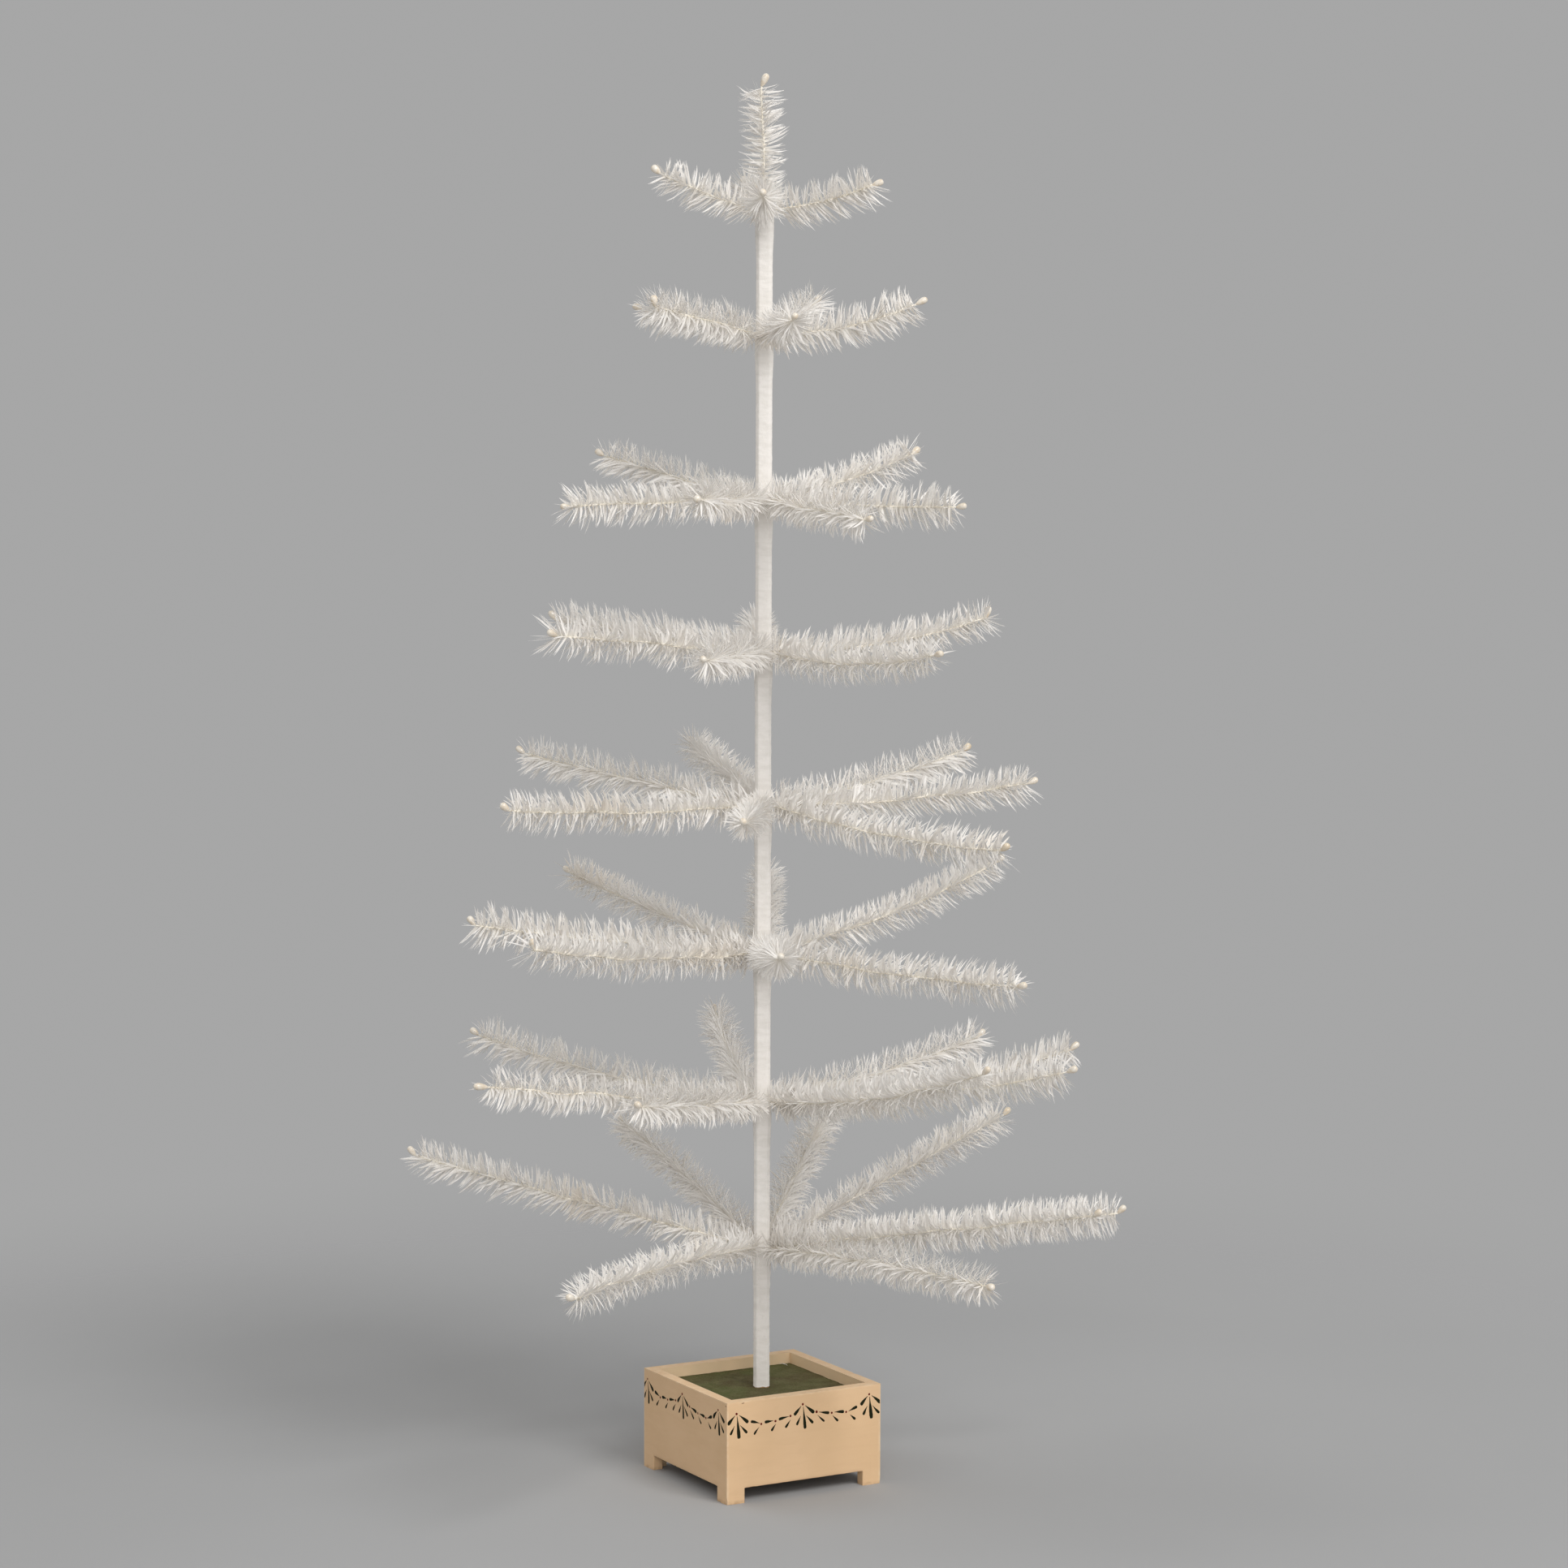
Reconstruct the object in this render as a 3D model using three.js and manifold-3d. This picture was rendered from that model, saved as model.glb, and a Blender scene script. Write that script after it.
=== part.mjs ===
// Feather Christmas tree: a paper-wrapped pole stands in a square painted box and carries eight tiers
// of feathered wire branches, each with a berry at its tip, and a feathered leader on top.
// Millimetres, +Z up. The box is centred on the origin and its feet stand on the plane Z = 0.
import * as THREE from "three";
import { mergeVertices } from "three/addons/utils/BufferGeometryUtils.js";
import Module from "manifold-3d";

const wasm = await Module();
wasm.setup();

// Box: four boards cut away between the feet. The left and right boards cover the ends of the others.
const BOX_SIDE = 190.5;
const BOX_HEIGHT = 110.3;
const WALL = 12;
const FOOT_WIDTH = 22;
const FOOT_HEIGHT = 16;

// Moss board: closes the box a little below the rim. The socket block under it holds the pole.
const BOARD_RECESS = 11.7;
const BOARD_THICKNESS = 9;
const BLOCK_SIDE = 60;
const BLOCK_HEIGHT = 52;
const BLOCK_FLOOR = 8;
const SOCKET_CLEARANCE = 0.3;
const CUT_OVERRUN = 1;

// Pole: a square stick with chamfered corners, turned a little to the box.
const POLE_WIDTH = 16.3;
const POLE_CHAMFER = 2.9;
const POLE_STUB = 6.3;
const POLE_TURN = -29;

// Paper wrap: a thin sleeve that swells below each tier, where the ends of the branch wires lie.
const WRAP_CLEARANCE = 0.25;
const WRAP_THICKNESS = 0.5;
const WRAP_FOOT_GAP = 0.3;
const WRAP_SWELL = 1.3;
const SWELL_RUN = 60;
const SWELL_FULL = 15;
const SWELL_LIP = 1;
const SWELL_STEP = 2;

// Branches: a wire with a spiked sleeve of feather barbs. Each folds up about its root.
const ROOT_RADIUS = 1.5;
const ROOT_END = 0.7;
const ROOT_BACK = 1.3;
const ROOT_GAP = 0.3;
const CORE_RADIUS = 3;
const NECK_RADIUS = 0.9;
const BARE_ROOT = 7;
const BARB_REACH = 26;
const BARB_LEAN = 12;
const BARB_PITCH = 16;
const BARB_CLEARANCE = 0.8;
const BARB_TWIST = 32;
const FOLD_ELEVATION = 58;
const BARB_SIDES = 4;
const LENGTH_DATUM = 10;

// Berries: egg shapes with a pointed base, one at each tip.
const BERRY_LENGTH = 12.4;
const BERRY_WIDTH = 7.4;
const BERRY_SIDES = 6;
const BERRY_PLACE_SHARES = [0.22, 0.5, 0.8];
const BERRY_WIDTH_SHARES = [0.46, 0.97, 0.75];

// Leader: the feathered tip above the pole, with its own berry.
const LEADER_LENGTH = 138;
const LEADER_REACH = 21;
const LEADER_FOOT = 2.6;
const LEADER_FOOT_RISE = 5;
const LEADER_OPENING_SHARE = 0.42;
const LEADER_TILT = 25;
const LEADER_LEAN_TO = -29;

// Tiers, counted from the top: rise above the moss board for the lowest and above the tier below for
// the others, then length from the datum radius to the berry, and then the branches as name, azimuth,
// elevation, bow share of the length, berry bend, length share.
const TIER_8_RISE = 155.8;
const TIER_7_RISE = 160.5;
const TIER_6_RISE = 163.1;
const TIER_5_RISE = 160.3;
const TIER_4_RISE = 166.4;
const TIER_3_RISE = 163.6;
const TIER_2_RISE = 177.3;
const TIER_1_RISE = 133.1;
const TIER_1_LENGTH = 116;
const TIER_2_LENGTH = 165;
const TIER_3_LENGTH = 212;
const TIER_4_LENGTH = 245;
const TIER_5_LENGTH = 292;
const TIER_6_LENGTH = 312;
const TIER_7_LENGTH = 345;
const TIER_8_LENGTH = 390;

const TIER_1_SHARES = [
  ["back", 72, 20, 0, 20, 1],
  ["left", 143, 22, -0.017, 20, 1],
  ["front", 240, 4, 0, 15, 1],
  ["right", 320, 13.5, -0.034, 3, 1],
];
const TIER_2_SHARES = [
  ["back_right", 40, 16, 0, 20, 1],
  ["left_a", 115, 11.7, 0, 5, 1],
  ["left_b", 199, 10.5, 0, 70, 1],
  ["front", 251, 4, 0, 20, 1],
  ["right", 336, 13, -0.048, 15, 1],
];
const TIER_3_SHARES = [
  ["right_back", 9, 15, -0.024, 20, 1],
  ["left_back", 118, 14, 0, 15, 1],
  ["left", 170, -2, 0.005, 3, 1],
  ["left_front", 223, 0.5, 0, 5, 1],
  ["right_front", 270, -5, 0, 15, 1],
  ["right", 311, -1.6, -0.009, 10, 1],
];
const TIER_4_SHARES = [
  ["back", 63, 6, 0, 25, 1],
  ["left_a", 128, 8.3, 0, 45, 1],
  ["left_b", 180, 5.7, 0, 20, 1],
  ["front_left", 227, 0.7, 0, 10, 1],
  ["right_front", 286, 1.4, -0.045, 12, 1],
  ["right", 343, 10, -0.041, 65, 1],
];
const TIER_5_SHARES = [
  ["right_back", 10, 10, -0.021, 20, 1],
  ["back_left", 77, 10, 0.007, 30, 1],
  ["left_back", 126, 10, -0.007, 25, 1],
  ["left", 177, 1.6, -0.017, 37, 1],
  ["front", 237, 1.6, 0, 20, 1],
  ["right_front", 298, -6, -0.027, 45, 1],
  ["right", 341, 4.5, -0.021, 18, 1],
];
const TIER_6_SHARES = [
  ["right_back", 1, 16.4, -0.032, 20, 1],
  ["back", 60, 11, 0, 25, 1],
  ["left_back", 106, 12.5, -0.01, 15, 1],
  ["left", 164, 7.7, -0.01, 45, 1],
  ["left_front", 193, 6.3, -0.026, 72, 1],
  ["front", 244, 6.3, 0, 20, 1],
  ["right_front", 298, -2.5, -0.016, 15, 1],
];
const TIER_7_SHARES = [
  ["right_back", 15, 6.6, -0.02, 25, 1],
  ["back", 70, 9, -0.043, 20, 1],
  ["left_back", 128, 9.3, -0.029, 25, 1],
  ["left", 186, 7.8, -0.006, 0, 1.023],
  ["left_front", 220, 8.1, 0, 15, 1],
  ["right_front", 282, 12.4, -0.032, 28, 1],
  ["right_b", 310, 9, -0.026, 15, 1],
  ["right_a", 341, 8.6, -0.038, 30, 1],
];
const TIER_8_SHARES = [
  ["right_back", 12, 16.6, 0, 20, 0.979],
  ["back_right", 47, 16, 0.026, 15, 1],
  ["back_left", 86, 12, 0.013, 20, 1],
  ["left", 145, 14.5, -0.003, 38, 1],
  ["front_left", 212, 2.5, 0.018, 20, 1],
  ["front_right", 276, 3.5, 0.01, 0, 1],
  ["right_2", 304, 10.5, 0, 25, 1],
  ["right", 336, 5, -0.005, 40, 1],
];

// Colours, each with a roughness.
const BOX_PAINT = { color: 0xd9b78c, roughness: 0.6 };
const MOSS_PAINT = { color: 0x4a4a2c, roughness: 0.9 };
const BARE_WOOD = { color: 0xb08a5a, roughness: 0.8 };
const PAPER = { color: 0xd8d8d6, roughness: 0.85 };
const FEATHER = { color: 0xe6e0d2, roughness: 0.9 };

const boardTop = BOX_HEIGHT - BOARD_RECESS;
const boardUnder = boardTop - BOARD_THICKNESS;
const tier8 = boardTop + TIER_8_RISE;
const tier7 = tier8 + TIER_7_RISE;
const tier6 = tier7 + TIER_6_RISE;
const tier5 = tier6 + TIER_5_RISE;
const tier4 = tier5 + TIER_4_RISE;
const tier3 = tier4 + TIER_3_RISE;
const tier2 = tier3 + TIER_2_RISE;
const tier1 = tier2 + TIER_1_RISE;
const poleTop = tier1 + POLE_STUB;
const poleFoot = boardUnder - BLOCK_HEIGHT + BLOCK_FLOOR;
const TIERS = [
  { height: tier1, length: TIER_1_LENGTH, rows: TIER_1_SHARES },
  { height: tier2, length: TIER_2_LENGTH, rows: TIER_2_SHARES },
  { height: tier3, length: TIER_3_LENGTH, rows: TIER_3_SHARES },
  { height: tier4, length: TIER_4_LENGTH, rows: TIER_4_SHARES },
  { height: tier5, length: TIER_5_LENGTH, rows: TIER_5_SHARES },
  { height: tier6, length: TIER_6_LENGTH, rows: TIER_6_SHARES },
  { height: tier7, length: TIER_7_LENGTH, rows: TIER_7_SHARES },
  { height: tier8, length: TIER_8_LENGTH, rows: TIER_8_SHARES },
];
const wrapInside = WRAP_CLEARANCE;
const wrapOutside = WRAP_CLEARANCE + WRAP_THICKNESS;

function radians(degrees) {
  return THREE.MathUtils.degToRad(degrees);
}

// Corners of the pole's section, grown by an offset on every face.
function poleSection(offset) {
  const half = POLE_WIDTH / 2 + offset;
  const flat = half - POLE_CHAMFER - (2 - Math.SQRT2) * offset;
  const corners = [];
  for (let quarter = 0; quarter < 4; quarter += 1) {
    const turn = radians(POLE_TURN + 90 * quarter);
    for (const side of [-1, 1]) {
      const point = new THREE.Vector2(half, flat * side);
      point.rotateAround(new THREE.Vector2(0, 0), turn);
      corners.push(point);
    }
  }
  return corners;
}

// How far from the pole's axis a grown section reaches along an azimuth.
function sectionReach(offset, azimuth) {
  const half = POLE_WIDTH / 2 + offset;
  const flat = half - POLE_CHAMFER - (2 - Math.SQRT2) * offset;
  const chamferReach = (half + flat) / Math.SQRT2;
  let reach = Infinity;
  for (let side = 0; side < 8; side += 1) {
    const cosine = Math.cos(radians(azimuth - POLE_TURN - 45 * side));
    const distance = side % 2 === 0 ? half : chamferReach;
    if (cosine > 0) {
      reach = Math.min(reach, distance / cosine);
    }
  }
  return reach;
}

// A faceted surface that grows by rings of points and closes into one body.
class Surface {
  constructor() {
    this.points = [];
    this.faces = [];
  }

  ring(points) {
    const start = this.points.length;
    this.points.push(...points);
    return points.map((point, index) => start + index);
  }

  // Joins two rings whose points start side by side and run the same way round.
  stitch(low, high) {
    let i = 0;
    let j = 0;
    while (i < low.length || j < high.length) {
      const highNext = j < high.length && (j + 1) / high.length <= (i + 1) / low.length;
      const a = low[i % low.length];
      const b = high[j % high.length];
      if (highNext || i === low.length) {
        this.faces.push([a, high[(j + 1) % high.length], b]);
        j += 1;
      } else {
        this.faces.push([a, low[(i + 1) % low.length], b]);
        i += 1;
      }
    }
  }

  // Joins two barb rings so that each spike stands on the four valleys round it.
  spikes(low, high, station) {
    const count = low.length;
    for (let side = 0; side < count; side += 1) {
      const next = (side + 1) % count;
      const [a, b, c, d] = [low[side], low[next], high[next], high[side]];
      if ((station + side) % 2 === 0) {
        this.faces.push([a, b, d], [b, c, d]);
      } else {
        this.faces.push([a, b, c], [a, c, d]);
      }
    }
  }

  cap(ring, facesAlong) {
    for (let index = 1; index < ring.length - 1; index += 1) {
      const face = [ring[0], ring[index], ring[index + 1]];
      this.faces.push(facesAlong ? face : face.reverse());
    }
  }

  tip(ring, point) {
    const [apex] = this.ring([point]);
    ring.forEach((corner, index) => this.faces.push([corner, ring[(index + 1) % ring.length], apex]));
  }

  geometry() {
    const values = [];
    for (const face of this.faces) {
      for (const index of face) {
        values.push(...this.points[index].toArray());
      }
    }
    const geometry = new THREE.BufferGeometry();
    geometry.setAttribute("position", new THREE.Float32BufferAttribute(values, 3));
    geometry.computeVertexNormals();
    return geometry;
  }
}

function sectionAt(offset, height) {
  return poleSection(offset).map((point) => new THREE.Vector3(point.x, point.y, height));
}

// A solid with the pole's section, grown by an offset.
function poleSolid(offset, bottom, top) {
  const surface = new Surface();
  const low = surface.ring(sectionAt(offset, bottom));
  const high = surface.ring(sectionAt(offset, top));
  surface.cap(low, false);
  surface.stitch(low, high);
  surface.cap(high, true);
  return surface.geometry();
}

function solid(geometry) {
  const plain = geometry.clone();
  plain.deleteAttribute("normal");
  plain.deleteAttribute("uv");
  const merged = mergeVertices(plain);
  return new wasm.Manifold(
    new wasm.Mesh({
      numProp: 3,
      vertProperties: merged.attributes.position.array,
      triVerts: new Uint32Array(merged.index.array),
    }),
  );
}

function fromSolid(shape) {
  const mesh = shape.getMesh();
  const geometry = new THREE.BufferGeometry();
  geometry.setAttribute("position", new THREE.BufferAttribute(mesh.vertProperties, 3));
  geometry.setIndex(new THREE.BufferAttribute(mesh.triVerts, 1));
  const facets = geometry.toNonIndexed();
  facets.computeVertexNormals();
  return facets;
}

const tree = new THREE.Group();

function add(name, geometry, paint) {
  const material = new THREE.MeshStandardMaterial({ ...paint, metalness: 0 });
  const mesh = new THREE.Mesh(geometry, material);
  mesh.name = name;
  tree.add(mesh);
}

// A wall board seen from outside: its lower edge is cut away between two feet.
function wallBoard(length, foot) {
  const half = length / 2;
  const outline = new THREE.Shape();
  outline.moveTo(-half, 0);
  outline.lineTo(foot - half, 0);
  outline.lineTo(foot - half, FOOT_HEIGHT);
  outline.lineTo(half - foot, FOOT_HEIGHT);
  outline.lineTo(half - foot, 0);
  outline.lineTo(half, 0);
  outline.lineTo(half, BOX_HEIGHT);
  outline.lineTo(-half, BOX_HEIGHT);
  outline.closePath();
  const board = new THREE.ExtrudeGeometry(outline, { depth: WALL, bevelEnabled: false });
  board.rotateX(Math.PI / 2);
  return board;
}

function addBox() {
  const half = BOX_SIDE / 2;
  const inside = BOX_SIDE - 2 * WALL;
  const front = wallBoard(inside, FOOT_WIDTH - WALL);
  front.translate(0, WALL - half, 0);
  add("box_front_board", front, BOX_PAINT);
  const back = wallBoard(inside, FOOT_WIDTH - WALL);
  back.translate(0, half, 0);
  add("box_back_board", back, BOX_PAINT);
  const left = wallBoard(BOX_SIDE, FOOT_WIDTH);
  left.rotateZ(-Math.PI / 2);
  left.translate(WALL - half, 0, 0);
  add("box_left_board", left, BOX_PAINT);
  const right = wallBoard(BOX_SIDE, FOOT_WIDTH);
  right.rotateZ(Math.PI / 2);
  right.translate(half - WALL, 0, 0);
  add("box_right_board", right, BOX_PAINT);
}

function addMossBoard() {
  const inside = BOX_SIDE - 2 * WALL;
  const board = new THREE.BoxGeometry(inside, inside, BOARD_THICKNESS);
  board.translate(0, 0, boardUnder + BOARD_THICKNESS / 2);
  const hole = poleSolid(SOCKET_CLEARANCE, boardUnder - CUT_OVERRUN, boardTop + CUT_OVERRUN);
  add("moss_board", fromSolid(solid(board).subtract(solid(hole))), MOSS_PAINT);
}

function addSocketBlock() {
  const block = new THREE.BoxGeometry(BLOCK_SIDE, BLOCK_SIDE, BLOCK_HEIGHT);
  block.translate(0, 0, boardUnder - BLOCK_HEIGHT / 2);
  const hole = poleSolid(SOCKET_CLEARANCE, poleFoot, boardUnder + CUT_OVERRUN);
  add("socket_block", fromSolid(solid(block).subtract(solid(hole))), BARE_WOOD);
}

// Stations of the wrap's outside, from its foot to the pole's top, as height and added offset.
function wrapStations() {
  const stations = [[boardTop + WRAP_FOOT_GAP, 0]];
  for (const tier of [...TIERS].reverse()) {
    stations.push([tier.height - SWELL_RUN, 0]);
    stations.push([tier.height - SWELL_FULL, WRAP_SWELL]);
    stations.push([tier.height - SWELL_LIP, WRAP_SWELL]);
    stations.push([tier.height + SWELL_STEP, 0]);
  }
  stations.push([poleTop, 0]);
  return stations;
}

function addPoleAndWrap() {
  add("trunk_pole", poleSolid(0, poleFoot, poleTop), BARE_WOOD);
  const surface = new Surface();
  const bottom = surface.ring(sectionAt(wrapInside, boardTop + WRAP_FOOT_GAP));
  const top = surface.ring(sectionAt(wrapInside, poleTop));
  let last = bottom;
  for (const [height, swell] of wrapStations()) {
    const ring = surface.ring(sectionAt(wrapOutside + swell, height));
    surface.stitch(last, ring);
    last = ring;
  }
  surface.stitch(last, top);
  surface.stitch(top, bottom);
  add("trunk_wrap", surface.geometry(), PAPER);
}

// A ring of points round the X direction of a branch's own frame.
function crossRing(center, radii, turn, lean) {
  return radii.map((radius, side) => {
    const angle = radians(turn + (360 / radii.length) * side);
    const forward = radius > CORE_RADIUS ? lean : 0;
    return new THREE.Vector3(
      center.x + forward,
      center.y + radius * Math.cos(angle),
      center.z + radius * Math.sin(angle),
    );
  });
}

// A berry that goes on from the last ring of a branch, bent up from its wire.
function addBerry(surface, neck, base, bend, turn) {
  const along = new THREE.Vector3(Math.cos(radians(bend)), 0, Math.sin(radians(bend)));
  const across = new THREE.Vector3(0, 1, 0);
  const up = new THREE.Vector3().crossVectors(along, across);
  let last = neck;
  BERRY_PLACE_SHARES.forEach((placeShare, index) => {
    const radius = (BERRY_WIDTH / 2) * BERRY_WIDTH_SHARES[index];
    const center = base.clone().addScaledVector(along, BERRY_LENGTH * placeShare);
    const points = [];
    for (let side = 0; side < BERRY_SIDES; side += 1) {
      const angle = radians(turn + (360 / BERRY_SIDES) * side);
      const point = center.clone().addScaledVector(across, radius * Math.cos(angle));
      points.push(point.addScaledVector(up, radius * Math.sin(angle)));
    }
    const ring = surface.ring(points);
    surface.stitch(last, ring);
    last = ring;
  });
  surface.tip(last, base.clone().addScaledVector(along, BERRY_LENGTH));
}

// A feathered wire along X from the origin, with its berry's middle on the X axis at length.
// room gives the longest barb at a distance from the root.
function featheredWire({ length, bow, bend, foot, start, room, phase }) {
  const base = new THREE.Vector3(length, 0, 0);
  base.x -= (BERRY_LENGTH / 2) * Math.cos(radians(bend));
  base.z -= (BERRY_LENGTH / 2) * Math.sin(radians(bend));
  const middle = (place) => {
    const share = place / base.x;
    return new THREE.Vector3(place, 0, base.z * share + bow * 4 * share * (1 - share));
  };
  const steps = Math.max(2, Math.round((base.x - start) / BARB_PITCH));
  const surface = new Surface();
  let last = surface.ring(foot);
  surface.cap(last, false);
  for (let station = 0; station <= steps; station += 1) {
    const place = start + ((base.x - start) * station) / steps;
    const isEnd = station === 0 || station === steps;
    const radii = [];
    for (let side = 0; side < BARB_SIDES; side += 1) {
      const sway = 0.94 + 0.06 * Math.sin(phase + 2.3 * station + 1.7 * side);
      const barb = Math.min(BARB_REACH * sway, room(place));
      const valley = station === steps ? NECK_RADIUS : CORE_RADIUS;
      radii.push(isEnd || (station + side) % 2 ? valley : Math.max(barb, 1.5 * CORE_RADIUS));
    }
    const turn = phase + BARB_TWIST * station;
    const lean = BARB_LEAN * Math.min(1, room(place) / BARB_REACH);
    const ring = surface.ring(crossRing(middle(place), radii, turn, lean));
    surface.spikes(last, ring, station + 1);
    last = ring;
  }
  addBerry(surface, last, base, bend, phase + BARB_TWIST * steps);
  return surface.geometry();
}

// The least angle from a branch to its neighbours in the same tier.
function neighbourAngle(rows, azimuth) {
  const angles = rows.map((row) => Math.abs(((row[1] - azimuth + 540) % 360) - 180));
  return Math.min(...angles.filter((angle) => angle > 0), 90);
}

function addBranch(tier, number, row) {
  const [name, azimuth, elevation, bowShare, bend, lengthShare] = row;
  const hingeOffset = wrapOutside + WRAP_SWELL + ROOT_RADIUS + ROOT_GAP;
  const hinge = sectionReach(hingeOffset, azimuth);
  const wall = sectionReach(wrapOutside + WRAP_SWELL, azimuth);
  const sector = Math.sin(radians(neighbourAngle(tier.rows, azimuth) / 2));
  const fold = radians(FOLD_ELEVATION);
  const room = (place) => {
    const beside = (hinge + place * Math.cos(fold)) * sector - BARB_CLEARANCE;
    const above = (hinge - wall + place * Math.cos(fold) - BARB_CLEARANCE) / Math.sin(fold);
    return Math.min(beside, above);
  };
  const turn = BARB_TWIST * number + azimuth;
  const geometry = featheredWire({
    length: tier.length * lengthShare + LENGTH_DATUM - hinge,
    bow: bowShare * tier.length,
    bend,
    foot: crossRing(new THREE.Vector3(-ROOT_BACK, 0, 0), Array(BARB_SIDES).fill(ROOT_END), turn, 0),
    start: BARE_ROOT,
    room,
    phase: turn,
  });
  geometry.rotateY(-radians(elevation));
  geometry.translate(hinge, 0, tier.height);
  geometry.rotateZ(radians(azimuth));
  add(`branch_${number}_${name}`, geometry, FEATHER);
}

function addLeader() {
  const length = LEADER_LENGTH - BERRY_LENGTH / 2;
  const geometry = featheredWire({
    length,
    bow: 0,
    bend: -LEADER_TILT,
    foot: crossRing(new THREE.Vector3(0, 0, 0), Array(BARB_SIDES).fill(LEADER_FOOT), 0, 0),
    start: LEADER_FOOT_RISE,
    room: (place) => Math.min(LEADER_REACH, LEADER_FOOT + place * LEADER_OPENING_SHARE),
    phase: 0,
  });
  geometry.rotateY(-Math.PI / 2);
  geometry.rotateZ(radians(LEADER_LEAN_TO));
  geometry.translate(0, 0, poleTop);
  add("leader", geometry, FEATHER);
}

addBox();
addMossBoard();
addSocketBlock();
addPoleAndWrap();
TIERS.forEach((tier, index) => tier.rows.forEach((row) => addBranch(tier, index + 1, row)));
addLeader();

export default tree;
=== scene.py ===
import math

import bmesh
import bpy
import numpy as np
from mathutils import Matrix, Vector


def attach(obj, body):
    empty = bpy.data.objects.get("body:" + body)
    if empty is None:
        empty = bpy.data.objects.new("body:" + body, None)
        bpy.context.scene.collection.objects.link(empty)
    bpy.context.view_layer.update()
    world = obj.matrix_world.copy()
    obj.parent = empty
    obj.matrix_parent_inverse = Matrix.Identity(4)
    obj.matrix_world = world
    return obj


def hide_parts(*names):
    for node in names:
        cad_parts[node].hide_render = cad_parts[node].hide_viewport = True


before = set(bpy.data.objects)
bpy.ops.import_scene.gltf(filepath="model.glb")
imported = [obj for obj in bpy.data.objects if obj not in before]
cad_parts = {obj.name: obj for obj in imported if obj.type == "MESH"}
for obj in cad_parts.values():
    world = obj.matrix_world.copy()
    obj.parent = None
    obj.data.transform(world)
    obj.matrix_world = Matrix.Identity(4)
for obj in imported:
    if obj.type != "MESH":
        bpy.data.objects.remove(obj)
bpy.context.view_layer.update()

MM = 0.001

# Box, in millimetres, as in the CAD source
BOX_SIDE = 190.5
BOX_HEIGHT = 110.3
WALL = 12.0
FOOT_WIDTH = 22.0
FOOT_HEIGHT = 16.0
BOARD_RECESS = 11.7
BOARD_THICKNESS = 9.0
HALF = BOX_SIDE / 2
BOARD_TOP = BOX_HEIGHT - BOARD_RECESS

# Pole and wrap
POLE_WIDTH = 16.3
POLE_CHAMFER = 2.9
POLE_TURN = -29.0
POLE_TOP = 1385.0
WRAP_OFFSET = 0.75
WRAP_SWELL = 1.3
SWELL_RUN = 60.0
SWELL_FULL = 15.0
SWELL_LIP = 1.0
SWELL_STEP = 2.0
WRAP_FOOT = BOARD_TOP + 0.3
WRAP_CORNER = 31.7

# Branches: their lengths count from LENGTH_DATUM outside the pole's axis
HINGE_OFFSET = 3.85
LENGTH_DATUM = 10.0
BERRY_LENGTH = 12.4
BERRY_WIDTH = 7.4
LEADER_LENGTH = 138.0
LEADER_TILT = 25.0
LEADER_LEAN_TO = -29.0

# Tier: height above the floor, length of its branches, and its rows of
# name, azimuth, elevation, bow share and berry bend
TIERS = {
    1: (1378.7, 116, [
        ("back", 72, 20, 0, 20), ("left", 143, 22, -0.017, 20),
        ("front", 240, 4, 0, 15), ("right", 320, 13.5, -0.034, 3)]),
    2: (1245.6, 165, [
        ("back_right", 40, 16, 0, 20), ("left_a", 115, 11.7, 0, 5),
        ("left_b", 199, 10.5, 0, 70), ("front", 251, 4, 0, 20), ("right", 336, 13, -0.048, 15)]),
    3: (1068.3, 212, [
        ("right_back", 9, 15, -0.024, 20), ("left_back", 118, 14, 0, 15),
        ("left", 170, -2, 0.005, 3), ("left_front", 223, 0.5, 0, 5),
        ("right_front", 270, -5, 0, 15), ("right", 311, -1.6, -0.009, 10)]),
    4: (904.7, 245, [
        ("back", 63, 6, 0, 25), ("left_a", 128, 8.3, 0, 45), ("left_b", 180, 5.7, 0, 20),
        ("front_left", 227, 0.7, 0, 10), ("right_front", 286, 1.4, -0.045, 12),
        ("right", 343, 10, -0.041, 65)]),
    5: (738.3, 292, [
        ("right_back", 10, 10, -0.021, 20), ("back_left", 77, 10, 0.007, 30),
        ("left_back", 126, 10, -0.007, 25), ("left", 177, 1.6, -0.017, 37),
        ("front", 237, 1.6, 0, 20), ("right_front", 298, -6, -0.027, 45),
        ("right", 341, 4.5, -0.021, 18)]),
    6: (578.0, 312, [
        ("right_back", 1, 16.4, -0.032, 20), ("back", 60, 11, 0, 25),
        ("left_back", 106, 12.5, -0.01, 15), ("left", 164, 7.7, -0.01, 45),
        ("left_front", 193, 6.3, -0.026, 72), ("front", 244, 6.3, 0, 20),
        ("right_front", 298, -2.5, -0.016, 15)]),
    7: (414.9, 345, [
        ("right_back", 15, 6.6, -0.02, 25), ("back", 70, 9, -0.043, 20),
        ("left_back", 128, 9.3, -0.029, 25), ("left", 186, 7.8, -0.006, 0),
        ("left_front", 220, 8.1, 0, 15), ("right_front", 282, 12.4, -0.032, 28),
        ("right_b", 310, 9, -0.026, 15), ("right_a", 341, 8.6, -0.038, 30)]),
    8: (254.4, 390, [
        ("right_back", 12, 16.6, 0, 20), ("back_right", 47, 16, 0.026, 15),
        ("back_left", 86, 12, 0.013, 20), ("left", 145, 14.5, -0.003, 38),
        ("front_left", 212, 2.5, 0.018, 20), ("front_right", 276, 3.5, 0.01, 0),
        ("right_2", 304, 10.5, 0, 25), ("right", 336, 5, -0.005, 40)]),
}
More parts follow.
